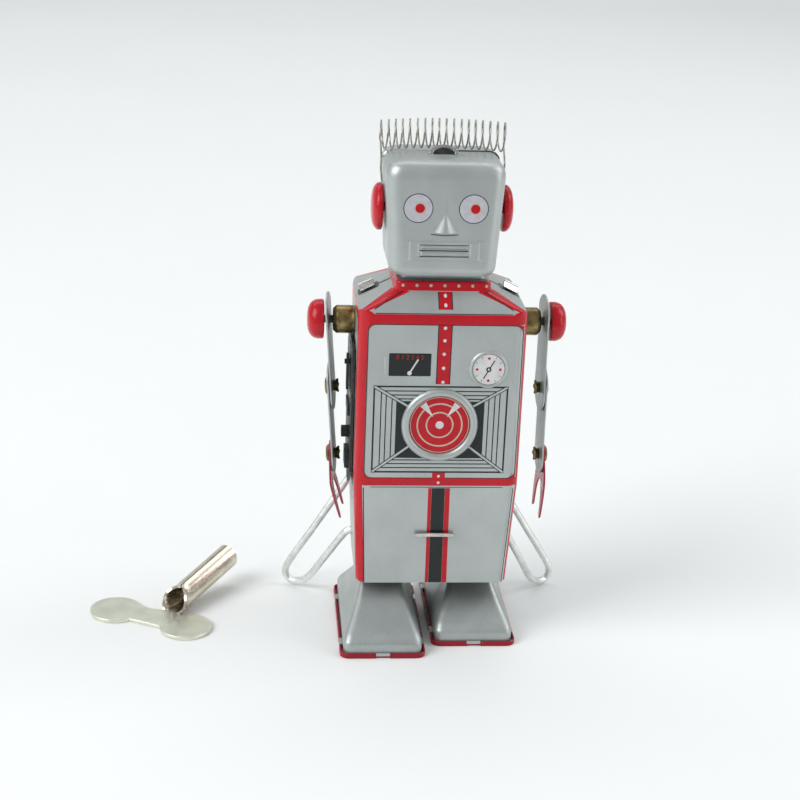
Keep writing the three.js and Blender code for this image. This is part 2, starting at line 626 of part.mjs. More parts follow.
function makeLegs() {
  for (const [name, side] of SIDES) {
    const x = LEG_X[name];
    const y = LEG_Y + side * CRANK_THROW;
    const section = (z, half, front, back, radius, inset) => roundedRing(
      z, half - inset, (back - front) / 2 - inset, radius, x, y + (front + back) / 2);
    const stack = (inset, low, high) => loft([
      section(low, FOOT.half, -FOOT.length, FOOT.length, 2.4, inset),
      section(FOOT.brim, FOOT.half, -FOOT.length, FOOT.length, 2.4, inset),
      section(ANKLE.z, ANKLE.half, ANKLE.front, ANKLE.back, 1.6, inset),
      section(high, ANKLE.half, ANKLE.front, ANKLE.back, 1.6, inset),
    ]);
    const shellSolid = cut(stack(0, FOOT.low, ANKLE.top), stack(SHEET, FOOT.low - 1, ANKLE.top - SHEET));
    const innerWall = side > 0 ? [5, x] : [x, -5];
    const pinBore = rod(1.3, ...innerWall, CRANK_AT[0] + side * CRANK_THROW, CRANK_AT[1], 12);
    const guideBore = rod(CRANK_THROW + GUIDE_R + 0.3, x - 9, x + 9,
      GUIDE_AT[0] + side * CRANK_THROW, GUIDE_AT[1]);
    piece(`leg_shell_${name}`, cut(shellSolid, pinBore, guideBore), SILVER);

    // red sole tray with a turned-up rim that is broken between its tabs
    const tray = (inset, z0, z1) => loft([z0, z1].map((z) => roundedRing(
      z, SOLE.half - inset, SOLE.length - inset, 2.9 - inset, x, y)));
    const rim = cut(tray(0, 0, SOLE.rim), tray(SOLE.wall, SOLE.thick, SOLE.rim + 1),
      block(x - 2, x + 2, y - 30, y - 20, SOLE.thick, 5),
      block(x - 20, x + 20, y - 17.4, y - 15.8, SOLE.thick, 5),
      block(x - 20, x + 20, y + 11.6, y + 13.2, SOLE.thick, 5));
    piece(`sole_${name}`, rim, RED);
  }
}

function makeEasel() {
  const half = [
    [21.9, WIRE_HOLE.y, WIRE_HOLE.z], [24.2, WIRE_HOLE.y, WIRE_HOLE.z], [26, 6.1, 25.2],
    [31.5, 11.2, 14.8], [36.4, 17.4, 4.8], [39.4, 20.2, 2], [42.4, 22.2, 1.75],
    [44, 22.8, 4.2], [42.4, 22.6, 8.4], [34, 21.2, 22], [23, 20.6, 40], [17, 20.4, 50.4],
    [13.6, 20.4, 53.4],
  ];
  const mirrored = half.map(([x, y, z]) => [-x, y, z]).reverse();
  piece('easel_wire', wireAlong([...half, ...mirrored], WIRE_R, 72, 6), STEEL);
}

function makeKey() {
  const { lobe, spread, plate } = KEY;
  const disc = (u) => new THREE.CylinderGeometry(lobe, lobe, plate, 28)
    .rotateX(Math.PI / 2).translate(u, 1.5, plate / 2);
  const bridge = block(-spread, spread, -3, 7.6, 0, plate);
  const barrel = new THREE.LatheGeometry([
    [KEY.bore, 0], [KEY.tube, 0], [KEY.tube, KEY.length], [KEY.bore, KEY.length], [KEY.bore, 0],
  ].map(([r, h]) => new THREE.Vector2(r, h)), 24);
  const tilt = THREE.MathUtils.degToRad(KEY.tilt);
  const heading = THREE.MathUtils.degToRad(KEY.heading);
  barrel.rotateX(tilt).rotateZ(-heading).translate(4, 12.2, KEY.tube + 0.5);
  const neck = block(-2.2, 2.2, -6.6, 1.6, -0.6, 0.6).rotateX(0.04).rotateZ(-heading);
  neck.translate(4, 12.2, 0.95);
  const key = join(disc(-spread), disc(spread), bridge, neck, barrel);
  key.rotateZ(THREE.MathUtils.degToRad(KEY.turn)).translate(KEY.x, KEY.y, 0);
  piece('winding_key', key, NICKEL);
}

makeBody();
makeHead();
makeEars();
makeCoil();
makeTabs();
makeBushes();
makeArms();
makeFrames();
makeMainspring();
makeTrain();
makeStopLever();
makeLegs();
makeEasel();
makeKey();

// the origin goes to the middle of everything's footprint, on the floor
const bounds = new THREE.Box3().setFromObject(model);
const centre = bounds.getCenter(new THREE.Vector3());
model.position.set(-centre.x, -centre.y, -bounds.min.z);

export default model;
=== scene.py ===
"""Looks of a wind-up tin robot and its loose winding key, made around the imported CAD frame."""

import math

import bmesh
import bpy
from mathutils import Matrix, Vector


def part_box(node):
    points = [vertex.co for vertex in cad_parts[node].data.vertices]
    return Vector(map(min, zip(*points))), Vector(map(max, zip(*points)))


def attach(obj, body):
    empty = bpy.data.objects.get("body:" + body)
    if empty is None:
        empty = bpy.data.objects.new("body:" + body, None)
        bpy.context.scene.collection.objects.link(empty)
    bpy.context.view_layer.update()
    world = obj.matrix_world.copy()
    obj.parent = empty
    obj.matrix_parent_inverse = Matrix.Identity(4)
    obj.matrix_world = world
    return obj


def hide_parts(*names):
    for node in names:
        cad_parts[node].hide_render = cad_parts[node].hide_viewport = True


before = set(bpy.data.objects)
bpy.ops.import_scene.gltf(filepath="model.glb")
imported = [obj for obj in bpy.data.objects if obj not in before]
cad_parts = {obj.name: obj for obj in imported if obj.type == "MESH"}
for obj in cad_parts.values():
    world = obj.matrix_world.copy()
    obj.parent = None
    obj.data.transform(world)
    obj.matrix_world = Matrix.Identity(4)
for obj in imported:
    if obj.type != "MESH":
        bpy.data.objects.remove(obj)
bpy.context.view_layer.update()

# ---------- driving dimensions: millimetres in the robot's own frame ----------
# +X is the robot's left, -Y its front, +Z up; the origin is under the middle of the body
MM = 0.001
SIDES = (("right", -1), ("left", 1))
FACINGS = (("front", -1), ("back", 1))
SHEET = 0.5
SEAM = 0.2  # half the gap between a front and a back shell
BODY_RINGS = [  # height, half width, half depth, corner radius
    (19.2, 23.1, 16.5, 3.6),
    (53, 24.7, 18.8, 4),
    (105.8, 24.7, 18.8, 4),
    (111.2, 13.9, 13.2, 1.6),
    (113.8, 13.9, 13.2, 1.6),
    (114, 12, 11.2, 1.4),
    (115.7, 12, 11.2, 1.4),
]
BODY_DEPTH = 18.8
HEAD_X = -0.7
HEAD_Y = -1
HEAD_SEAM_Y = 3
HEAD_RINGS = [
    (116, 14.6, 14.1, 3.8),
    (117.6, 15.6, 15, 4.4),
    (145.2, 17.2, 15, 4.4),
    (147.6, 16.4, 14.1, 4.4),
    (148.6, 14.4, 12.2, 3.8),
]
WAIST_Z, PANEL_LOW, PANEL_HIGH = 52.2, 54.6, 102.4  # red waist band, then the front panel
SLOPE_Z, COLLAR_Z, COLLAR_TOP = 105.4, 111, 113.8  # sloped shoulders, then the red collar
APRON_LOW, APRON_HIGH = 19.3, 51.4  # the print below the waist
SPEAKER_Z = 71.6
DIAL = (13.65, 88.95)  # its centre, x and z
EYE = (7.9, 135.9)
NOSE_TOP, NOSE_HEIGHT = 134.5, 5.9
MOUTH_Z = 123.6
EAR = {"y": -1, "z": 132.8, "radius": 6.9, "thick": 3.2, "right": 17.05, "left": 17.9}
COIL = {"y": 1.5, "z": 154, "radius": 4.13, "wire": 0.26, "half": 18.5, "turns": 17.5, "sag": 0.9}
SHOULDER = (0.7, 97.8)
STRAP_X = 32.4
STRAP_STEP = 0.9
STRAP_THICK = 0.55
UPPER_ARM = 21
LOWER_ARM = 21.8
RIVET_HOLE = 1.8
ARM_POSE = {"right": (-4.5, -7), "left": (-0.5, 2)}  # lean about Y, splay about Z, degrees
HAND_LEAN = {"right": 2.4, "left": 0.8}  # how far the prong tips bend inwards
LEG_X = {"right": -15, "left": 13.4}
LEG_Y = -1
SOLE = (13, 24.45, 2.9)  # half width, half length, corner radius
CRANK_THROW = 3.8
CRANK_Z = 45
GUIDE_Z = 31
PLATE_WINDOW = (-26.5, -22.5, -11, 11, 48, 92)  # where the clockwork's plate stands proud
WIRE_HOLE = (5, 27)
WIRE_RADIUS = 1.15
KEY = {"x": -86.6, "y": -4.55, "turn": -27.3, "lobe": 8.05, "spread": 12.5, "plate": 1.2,
       "centre": 1.2, "neck": 5.5, "neck_width": 6.5, "tube": 3.5, "wall": 0.8, "length": 25,
       "tilt": 11, "heading": 8}

HEAD_SHIFT = Matrix.Translation((HEAD_X, 0, 0))
back_low, back_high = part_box("body_back")
ORIGIN = Vector(((back_low.x + back_high.x) / 2, back_high.y - BODY_DEPTH * MM,
                 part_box("sole_right")[0].z))
TO_ROW = Matrix.Translation(ORIGIN) @ Matrix.Scale(MM, 4)


# ---------- materials ----------
class Nodes:
    """A material's node tree, with short calls for the nodes that the finishes share."""

    def __init__(self, name):
        self.material = bpy.data.materials.new(name)
        self.material.use_nodes = True
        self.tree = self.material.node_tree
        self.shader = self.tree.nodes["Principled BSDF"]
        self.place = self.add("ShaderNodeTexCoord").outputs["Object"]

    def add(self, kind, **settings):
        node = self.tree.nodes.new(kind)
        for key, value in settings.items():
            setattr(node, key, value)
        return node

    def join(self, source, target):
        self.tree.links.new(source, target)

    def drive(self, name, source):
        self.join(source, self.shader.inputs[name])

    def noise(self, scale, stretch=(1, 1, 1), detail=4, rough=0.55):
        mapping = self.add("ShaderNodeMapping")
        mapping.inputs["Scale"].default_value = stretch
        self.join(self.place, mapping.inputs["Vector"])
        node = self.add("ShaderNodeTexNoise")
        node.inputs["Scale"].default_value = scale
        node.inputs["Detail"].default_value = detail
        node.inputs["Roughness"].default_value = rough
        self.join(mapping.outputs["Vector"], node.inputs["Vector"])
        return node.outputs["Fac"]

    def ramp(self, value, low, high, start=0.0, end=1.0):
        """value from low..high becomes start..end, clamped."""
        node = self.add("ShaderNodeMapRange")
        for key, number in zip(("From Min", "From Max", "To Min", "To Max"), (low, high, start, end)):
            node.inputs[key].default_value = number
        self.join(value, node.inputs["Value"])
        return node.outputs["Result"]

    def mix(self, factor, first, second):
        """A colour between two, each a colour or an output."""
        node = self.add("ShaderNodeMix", data_type="RGBA")
        colours = [s for s in node.inputs if s.type == "RGBA"]
        for socket, value in zip(colours, (first, second)):
            if isinstance(value, tuple):
                socket.default_value = (*value, 1)
            else:
                self.join(value, socket)
        self.join(factor, node.inputs["Factor"])
        return [s for s in node.outputs if s.type == "RGBA"][0]

    def combine(self, operation, first, second):
        node = self.add("ShaderNodeMath", operation=operation, use_clamp=True)
        for socket, value in zip(node.inputs, (first, second)):
            if isinstance(value, (int, float)):
                socket.default_value = value
            else:
                self.join(value, socket)
        return node.outputs["Value"]

    def bump(self, *layers):
        """Bumps laid over each other: (height output, strength, distance in metres)."""
        normal = None
        for height, strength, distance in layers:
            node = self.add("ShaderNodeBump")
            node.inputs["Strength"].default_value = strength
            node.inputs["Distance"].default_value = distance
            self.join(height, node.inputs["Height"])
            if normal is not None:
                self.join(normal, node.inputs["Normal"])
            normal = node.outputs["Normal"]
        self.drive("Normal", normal)

    def fixed(self, **values):
        for key, value in values.items():
            self.shader.inputs[key.replace("_", " ")].default_value = value


def shade(color, amount):
    return tuple(min(1.0, c * amount) for c in color)


def painted_tin(name, color, metallic, roughness, coat, flake=0.0, wear=0.62, chips=0.5, gloss=0.5):
    """Lithographed or enamelled tinplate: even colour, faint ripples, worn along sharp edges."""
    bare = (0.5, 0.5, 0.48)
    n = Nodes(name)
    cloud = n.ramp(n.noise(70, detail=3), 0.3, 0.7)
    base = n.mix(cloud, shade(color, 0.93), shade(color, 1.06))
    if flake:
        grain = n.ramp(n.noise(5200, detail=2), 0.35, 0.65)
        base = n.mix(n.combine("MULTIPLY", grain, flake), base, shade(color, 1.5))
    edge = n.add("ShaderNodeNewGeometry").outputs["Pointiness"]
    ragged = n.ramp(n.noise(900, detail=6, rough=0.7), 0.45, 0.75, 0, 0.1)
    rubbed = n.ramp(n.combine("ADD", edge, ragged), wear, wear + 0.06)
    speck = n.ramp(n.noise(650, detail=8, rough=0.75), 0.74, 0.78)
    worn = n.combine("MAXIMUM", rubbed, n.combine("MULTIPLY", speck, chips))
    n.drive("Base Color", n.mix(worn, base, bare))
    n.drive("Metallic", n.ramp(worn, 0, 1, metallic, 0.95))
    smears = n.noise(240, stretch=(1, 1, 0.4), detail=5)
    n.drive("Roughness", n.ramp(smears, 0.3, 0.75, roughness * 0.85, roughness * 1.25))
    n.bump((n.noise(110, detail=2), 0.25, 0.0006), (n.noise(2600, detail=3), 0.12, 0.00006))
    n.fixed(Coat_Weight=coat, Coat_Roughness=0.12, Specular_IOR_Level=gloss)
    return n.material


def metal(name, color, roughness, tarnish, amount, brush=(1, 1, 1), pits=0.15):
    """Bare or plated metal with drawn scratches, uneven polish and darker tarnish in patches."""
    n = Nodes(name)
    cloud = n.ramp(n.noise(180, detail=4), 0.3, 0.7)
    base = n.mix(cloud, shade(color, 0.88), shade(color, 1.08))
    patch = n.ramp(n.noise(420, detail=8, rough=0.7), 0.42, 0.66)
    n.drive("Base Color", n.mix(n.combine("MULTIPLY", patch, amount), base, tarnish))
    scratches = n.noise(900, stretch=brush, detail=5, rough=0.65)
    n.drive("Roughness", n.ramp(scratches, 0.25, 0.8, roughness * 0.75, roughness * 1.5))
    n.bump((scratches, 0.12, 0.00008), (n.noise(1500, detail=6), pits, 0.00008))
    n.fixed(Metallic=1.0)
    return n.material


def ink(name, color, roughness=0.3):
    """Printed ink under varnish, with a faint unevenness and pinholes."""
    n = Nodes(name)
    cloud = n.ramp(n.noise(500, detail=4), 0.3, 0.7)
    base = n.mix(cloud, shade(color, 0.9), shade(color, 1.08))
    pin = n.ramp(n.noise(1800, detail=4), 0.72, 0.76)
    n.drive("Base Color", n.mix(n.combine("MULTIPLY", pin, 0.35), base, (0.5, 0.5, 0.5)))
    n.drive("Roughness", n.ramp(n.noise(260), 0.3, 0.7, roughness * 0.85, roughness * 1.2))
    n.bump((n.noise(2600, detail=3), 0.1, 0.00005))
    n.fixed(Coat_Weight=0.08, Coat_Roughness=0.12, Specular_IOR_Level=0.28)
    return n.material


SILVER = painted_tin("silver_litho", (0.44, 0.475, 0.468), 0.62, 0.42, 0.1, flake=0.22, chips=0.05)
# a darker copy of the body's silver: it paints the shade on the feet under the body; the coarser
# flake is their grain
FOOT_SILVER_SHADED = painted_tin("silver_foot_shaded", (0.37, 0.405, 0.395), 0.62, 0.4, 0.1, flake=0.45, chips=0.08)
RED = painted_tin("red_enamel", (0.5, 0.005, 0.015), 0.0, 0.25, 0.12, wear=0.6, chips=0.3, gloss=0.28)
# a darker red for the soles' rims
RED_RIM = painted_tin("red_rim_dark", (0.3, 0.006, 0.02), 0.1, 0.34, 0.1, wear=0.63, chips=0.2,
                      gloss=0.3)
CLAW_RED = painted_tin("claw_pink_red", (0.42, 0.035, 0.06), 0.4, 0.3, 0.2, wear=0.58)
STEEL = metal("bright_steel", (0.62, 0.61, 0.58), 0.22, tarnish=(0.2, 0.19, 0.16), amount=0.35,
              brush=(0.2, 1, 1))
DARK = metal("oiled_dark_steel", (0.075, 0.08, 0.08), 0.42, tarnish=(0.03, 0.028, 0.025),
             amount=0.7, pits=0.4)
BRASS = metal("aged_brass", (0.36, 0.27, 0.11), 0.34, tarnish=(0.08, 0.06, 0.03), amount=0.85,
              pits=0.3)
GEAR_BRASS = metal("gear_brass", (0.62, 0.47, 0.2), 0.26, tarnish=(0.3, 0.2, 0.08), amount=0.4)
SPRING = metal("spring_wire", (0.42, 0.41, 0.37), 0.25, tarnish=(0.12, 0.11, 0.09), amount=0.5)
ZINC = metal("zinc_wire", (0.88, 0.9, 0.88), 0.42, tarnish=(0.45, 0.46, 0.46), amount=0.35,
             brush=(0.3, 0.3, 1), pits=0.2)
# on the key's barrel the warm brown base colour paints a brownish reflection along the glossy tube;
# the patches are tarnish
NICKEL = metal("nickel_plate", (0.74, 0.68, 0.56), 0.24, tarnish=(0.62, 0.53, 0.43), amount=0.25,
               brush=(1, 0.15, 1), pits=0.03)
NICKEL_BOW = metal("nickel_bow", (0.8, 0.81, 0.7), 0.36, tarnish=(0.7, 0.7, 0.58), amount=0.2,
                   brush=(1, 0.4, 1), pits=0.08)
INKS = {name: ink(f"ink_{name}", color) for name, color in (
    ("red", (0.5, 0.005, 0.015)),
    ("black", (0.014, 0.018, 0.018)),
    ("white", (0.52, 0.52, 0.57)),
    ("dial", (0.68, 0.68, 0.68)),
    ("cream", (0.55, 0.47, 0.38)),
    ("silver", (0.46, 0.5, 0.49)),
)}


# ---------- building pieces ----------
def linked(name, data):
    obj = bpy.data.objects.new(name, data)
    bpy.context.scene.collection.objects.link(obj)
    return obj


def object_from(name, mesh, material, body, nodes=(), matrix=None, sharp=35):
    """A finished piece from a mesh in robot millimetres, riding on its body."""
    mesh.name = name
    if matrix is not None:
        mesh.transform(matrix)
    mesh.transform(TO_ROW)
    if material:
        mesh.materials.clear()
        mesh.materials.append(material)
    mesh.shade_smooth()
    mesh.set_sharp_from_angle(angle=math.radians(sharp))
    obj = linked(name, mesh)
    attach(obj, body)
    if nodes:
        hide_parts(*nodes)


def raw_mesh(points, faces):
    mesh = bpy.data.meshes.new("mesh")
    mesh.from_pydata(points, [], faces)
    return mesh


def mesh_of(points, faces):
    """A mesh with its doubled points merged and its faces turned outwards."""
    mesh = raw_mesh(points, faces)
    bm = bmesh.new()
    bm.from_mesh(mesh)
    bmesh.ops.remove_doubles(bm, verts=bm.verts, dist=1e-5)
    bmesh.ops.recalc_face_normals(bm, faces=bm.faces)
    bm.to_mesh(mesh)
    bm.free()
    return mesh


def joined(*meshes):
    """Several meshes as one, each still a body of its own."""
    bm = bmesh.new()
    for mesh in meshes:
        bm.from_mesh(mesh)
    result = bpy.data.meshes.new("joined")
    bm.to_mesh(result)
    bm.free()
    return result


def mesh_of_curve(curve):
    """The curve's mesh; the curve itself is thrown away."""
    holder = bpy.data.objects.new("holder", curve)
    mesh = bpy.data.meshes.new_from_object(holder)
    bpy.data.objects.remove(holder)
    bpy.data.curves.remove(curve)
    mesh.materials.clear()
    return mesh


def add_line(curve, points, closed):
    spline = curve.splines.new("POLY")
    spline.points.add(len(points) - 1)
    for point, place in zip(spline.points, points):
        point.co = (*place, 1)
    spline.use_cyclic_u = closed


def flat_mesh(loops, thick, edge=0.0):
    """A plate in the XY plane centred on z = 0; a loop inside another is a hole."""
    curve = bpy.data.curves.new("plate", "CURVE")
    curve.dimensions = "2D"
    curve.fill_mode = "BOTH"
    curve.extrude = thick / 2 - edge
    curve.bevel_depth = edge
    curve.bevel_resolution = 3
    curve.offset = -edge
    for loop in loops:
        add_line(curve, [(x, y, 0) for x, y in loop], True)
    return mesh_of_curve(curve)


def tube_mesh(points, radius, sides):
    """A capped round wire along the points."""
    curve = bpy.data.curves.new("tube", "CURVE")
    curve.dimensions = "3D"
    curve.bevel_depth = radius
    curve.bevel_resolution = max(0, sides // 2 - 2)
    curve.use_fill_caps = True
    add_line(curve, points, False)
    return mesh_of_curve(curve)


def smooth_path(points, per_span):
    """Catmull-Rom points through a given route."""
    places = [Vector(p) for p in (points[0], *points, points[-1])]
    result = []
    for a, b, c, d in zip(places, places[1:], places[2:], places[3:]):
        for k in range(per_span):
            t = k / per_span
            result.append(0.5 * (2 * b + (c - a) * t + (2 * a - 5 * b + 4 * c - d) * t * t
                                 + (3 * b - 3 * c + d - a) * t ** 3))
    return result + [places[-1]]


def bend(first, middle, last, t):
    """A point on the quadratic curve from first to last that leans towards the middle point."""
    return first * (1 - t) ** 2 + middle * 2 * t * (1 - t) + last * t * t


def rounded(points, radius, steps):
    """The polyline with each inner corner rounded; points may have any number of values."""
    places = [Vector(p) for p in points]
    result = [places[0]]
    for before, here, after in zip(places, places[1:], places[2:]):
        reach = min(radius, (here - before).length / 2.05, (after - here).length / 2.05)
        start = here + (before - here).normalized() * reach
        end = here + (after - here).normalized() * reach
        result += [bend(start, here, end, k / steps) for k in range(steps + 1)]
    result.append(places[-1])
    return result


def grid_faces(rows, across, closed=False):
    """Four-sided faces between rows of points; closed joins each row's two ends."""
    return [(r * across + i, r * across + (i + 1) % across,
             (r + 1) * across + (i + 1) % across, (r + 1) * across + i)
            for r in range(rows - 1) for i in range(across if closed else across - 1)]


def revolve(profile, segments, closed=False):
    """Turned mesh round Z from (radius, height) points; closed joins the last to the first."""
    points, rows, faces = [], [], []
    for radius, height in profile:
        first = len(points)
        if radius < 1e-6:
            rows.append([first] * segments)
            points.append((0, 0, height))
        else:
            rows.append(list(range(first, first + segments)))
            points += [(x, y, height) for x, y in circle(radius, steps=segments)]
    pairs = list(zip(rows, rows[1:])) + ([(rows[-1], rows[0])] if closed else [])
    for low, high in pairs:
        for i in range(segments):
            j = (i + 1) % segments
            corners = list(dict.fromkeys((low[i], low[j], high[j], high[i])))
            if len(corners) > 2:
                faces.append(corners)
    return mesh_of(points, faces)


ALONG_X = Matrix.Rotation(math.pi / 2, 4, "Y")  # local Z becomes +X
TO_FRONT = Matrix(((1, 0, 0, 0), (0, 0, -1, 0), (0, 1, 0, 0), (0, 0, 0, 1)))  # XY faces -Y
TO_SIDE = Matrix(((0, 0, 1, 0), (1, 0, 0, 0), (0, 1, 0, 0), (0, 0, 0, 1)))  # XY faces +X


def laid_on_x(mesh, side, y, z):
    """The turned mesh on an X axis at (y, z); its heights become distances out from the middle."""
    mesh.transform(Matrix.Translation((0, y, z)) @ Matrix.Diagonal((side, 1, 1, 1)) @ ALONG_X)
    if side < 0:
        mesh.flip_normals()
    return mesh


def turned_x(profile, side, y, z, segments, closed=False):
    return laid_on_x(revolve(profile, segments, closed), side, y, z)


def arc(radius, start, end, steps, x=0.0, y=0.0, tall=None):
    """Points round a centre, from one angle to another in degrees; tall makes an ellipse of it."""
    angles = [math.radians(start + (end - start) * i / steps) for i in range(steps + 1)]
    return [(x + radius * math.cos(a), y + (tall or radius) * math.sin(a)) for a in angles]


def circle(radius, x=0.0, y=0.0, steps=48):
    return arc(radius, 0, 360, steps, x, y)[:-1]


def box_loop(x0, x1, y0, y1, radius=0.0, steps=6):
    """An anticlockwise rectangle with rounded corners."""
    if radius <= 0:
        return [(x0, y0), (x1, y0), (x1, y1), (x0, y1)]
    centres = ((x1 - radius, y1 - radius), (x0 + radius, y1 - radius),
               (x0 + radius, y0 + radius), (x1 - radius, y0 + radius))
    return [point for turn, centre in enumerate(centres)
            for point in arc(radius, 90 * turn, 90 * turn + 90, steps, *centre)]


def bar(x0, y0, x1, y1, width):
    """A straight stroke between two points as a loop."""
    along = Vector((x1 - x0, y1 - y0)).normalized() * (width / 2)
    side = Vector((-along.y, along.x))
    return [(x0 - side.x, y0 - side.y), (x1 - side.x, y1 - side.y),
            (x1 + side.x, y1 + side.y), (x0 + side.x, y0 + side.y)]


def block_mesh(x0, x1, y0, y1, z0, z1):
    corners = [(x, y, z) for z in (z0, z1) for x, y in box_loop(x0, x1, y0, y1)]
    sides = [(i, (i + 1) % 4, (i + 1) % 4 + 4, i + 4) for i in range(4)]
    return mesh_of(corners, [(3, 2, 1, 0), (4, 5, 6, 7), *sides])


def rod_mesh(radius, x0, x1, y, z):
    return turned_x([(0, x0), (radius, x0), (radius, x1), (0, x1)], 1, y, z, 40)


def carved(mesh, cutters, thickness=0.0):
    """The mesh thickened inwards, then with the cutters taken away."""
    obj = linked("carved", mesh)
    if thickness:
        solid = obj.modifiers.new("sheet", "SOLIDIFY")
        solid.thickness = thickness
        solid.offset = -1
    tools = []
    for cutter in cutters:
        tools.append(linked("tool", cutter))
        boolean = obj.modifiers.new("hole", "BOOLEAN")
        boolean.operation = "DIFFERENCE"
        boolean.solver = "EXACT"
        boolean.object = tools[-1]
    bpy.context.view_layer.update()
    solved = obj.evaluated_get(bpy.context.evaluated_depsgraph_get())
    result = bpy.data.meshes.new_from_object(solved)
    for item in [obj, *tools]:
        bpy.data.objects.remove(item)
    return result


# ---------- pressed and rounded half shells ----------
BODY_TABLE = rounded(BODY_RINGS, 1.1, 5)
HEAD_TABLE = rounded(HEAD_RINGS, 1.4, 5)


def ring_at(table, z):
    """Half width, half depth and corner radius at a height."""
    z = max(z, table[0][0])
    for low, high in zip(table, table[1:]):
        if low[0] <= z <= high[0] and high[0] > low[0]:
            t = (z - low[0]) / (high[0] - low[0])
            return tuple(low[i] + (high[i] - low[i]) * t for i in (1, 2, 3))
    return tuple(table[-1][i] for i in (1, 2, 3))


def half_shell(table, heights, centre_y, seam_y, facing, columns, painter, relief=None):
    """Half of a box-like pressing, from seam to seam, with a lid.

    A column is (kind, value, zone), and the painter says from the zone which faces are red.
    """
    specs = [(-1, *c) for c in columns] + [(1, *c) for c in reversed(columns[:-1])]
    zones = [(-1, c[2]) for c in columns[:-1]] + [(1, c[2]) for c in reversed(columns[:-1])]
    points = []
    for z in heights:
        half_x, half_y, radius = ring_at(table, z)
        for sx, kind, value, _ in specs:
            x, y = half_x, half_y
            if kind == "seam":
                y = facing * (seam_y - centre_y) + SEAM
            elif kind == "side":
                y = half_y - radius - value
            elif kind == "arc":
                x = half_x - radius + radius * math.sin(math.radians(value))
                y = half_y - radius + radius * math.cos(math.radians(value))
            elif kind == "in":
                x = half_x - radius - value
            elif kind == "x":
                x = value
                if relief:
                    y += relief(sx * value, z)
            points.append((sx * x, centre_y + facing * y, z))
    lid = range(len(points) - len(specs), len(points))
    faces = grid_faces(len(heights), len(specs)) + [list(lid)]
    colours = [painter(*zone, (low + high) / 2)
               for low, high in zip(heights, heights[1:]) for zone in zones] + [0]
    mesh = raw_mesh(points, faces)
    for material in (SILVER, RED):
        mesh.materials.append(material)
    mesh.polygons.foreach_set("material_index", colours)
    middle = Vector((0, centre_y, sum(heights) / len(heights)))
    outward = sum((p.center - middle).dot(p.normal) * p.area for p in mesh.polygons)
    if outward < 0:
        mesh.flip_normals()
    return mesh


def spaced(low, high, step):
    """Even steps from low to high, as near to the wanted step as they go."""
    count = max(1, round((high - low) / step))
    return [low + (high - low) * i / count for i in range(count + 1)]


def body_red(side, zone, z):
    """The red borders; the stripe on the robot's right is the wider of the two."""
    banded = WAIST_Z < z < PANEL_LOW or PANEL_HIGH < z < SLOPE_Z or COLLAR_Z < z < COLLAR_TOP
    striped = z < SLOPE_Z and (zone == "corner" or side < 0 and zone == "inner")
    sloping = SLOPE_Z < z < COLLAR_Z and zone in ("corner", "inner", "edge")
    return int(banded or striped or sloping)


def make_body():
    levels = {round(row[0], 3) for row in BODY_TABLE}
    levels |= {WAIST_Z, PANEL_LOW, PANEL_HIGH, SLOPE_Z, COLLAR_Z}
    heights = sorted(levels | set(spaced(20, 52, 4)) | set(spaced(56, 101, 5)))
    columns = [("seam", 0, "plain"), ("side", 9, "plain")]
    columns += [("arc", angle, "corner") for angle in (90, 76, 62)]
    columns += [("arc", angle, "inner") for angle in (48, 34)]
    columns += [("arc", angle, "edge") for angle in (19, 8, 0)]
    columns += [("in", 0.7, "plain")] + [("x", x, "plain") for x in (9, 4.5, 0)]
    for name, facing in FACINGS:
        shell = half_shell(BODY_TABLE, heights, 0, 0, facing, columns, body_red)
        cutters = [block_mesh(*PLATE_WINDOW)]
        if facing > 0:
            cutters.append(rod_mesh(WIRE_RADIUS + 0.45, -30, 30, *WIRE_HOLE))
        object_from(f"shell_{name}", carved(shell, cutters, SHEET), None, "torso",
                    [f"body_{name}"])


def plateau(x, z, half_x, half_z, slope):
    """1 on a rectangle round the origin, with a slope down to 0 at its edge."""
    return max(0.0, min(1.0, min(half_x - abs(x), half_z - abs(z)) / slope))


def relief(x, z):
    """How far the nose and the mouth's frame and two bars stand out of the face."""
    height = 0.0
    down = (NOSE_TOP - z) / NOSE_HEIGHT
    if 0 < down <= 1:
        across = min(1.0, abs(x) / (0.5 + 3.8 * down ** 1.25))
        height += (0.1 + 1.35 * down) * (0.5 + 0.5 * math.cos(math.pi * across))
    for half_x, half_z, rise in ((10.3, 2.95, 0.38), (7.7, 1.95, -0.36)):
        height += rise * plateau(x, z - MOUTH_Z, half_x, half_z, 0.5)
    for offset in (-1, 1):
        height += 0.4 * plateau(x, z - MOUTH_Z - offset, 6.9, 0.62, 0.4)
    return height


def make_head():
    levels = {round(row[0], 3) for row in HEAD_TABLE}
    dense = set(spaced(120.4, 126.8, 0.2)) | set(spaced(128.6, 134.6, 0.3)) | {128.4}
    columns = [("seam", 0, "plain"), ("side", 6, "plain"), ("side", 2, "plain")]
    columns += [("arc", angle, "plain") for angle in (90, 75, 60, 45, 30, 15, 0)]
    columns += [("x", x, "plain") for x in reversed(spaced(0, 10.2, 0.3))]
    for name, facing in FACINGS:
        front = facing < 0
        heights = sorted(levels | (dense if front else set(spaced(118, 144, 6))))
        mesh = half_shell(HEAD_TABLE, heights, HEAD_Y, HEAD_SEAM_Y, facing, columns,
                          lambda side, zone, z: 0, relief if front else None)
        object_from(f"head_shell_{name}", carved(mesh, [], SHEET), SILVER, "torso",
                    [f"head_{name}"], HEAD_SHIFT, sharp=28)


# ---------- printed artwork ----------
def front_y(x, z):
    return -ring_at(BODY_TABLE, z)[1]


def face_y(x, z):
    return HEAD_Y - ring_at(HEAD_TABLE, z)[1] - relief(x, z)


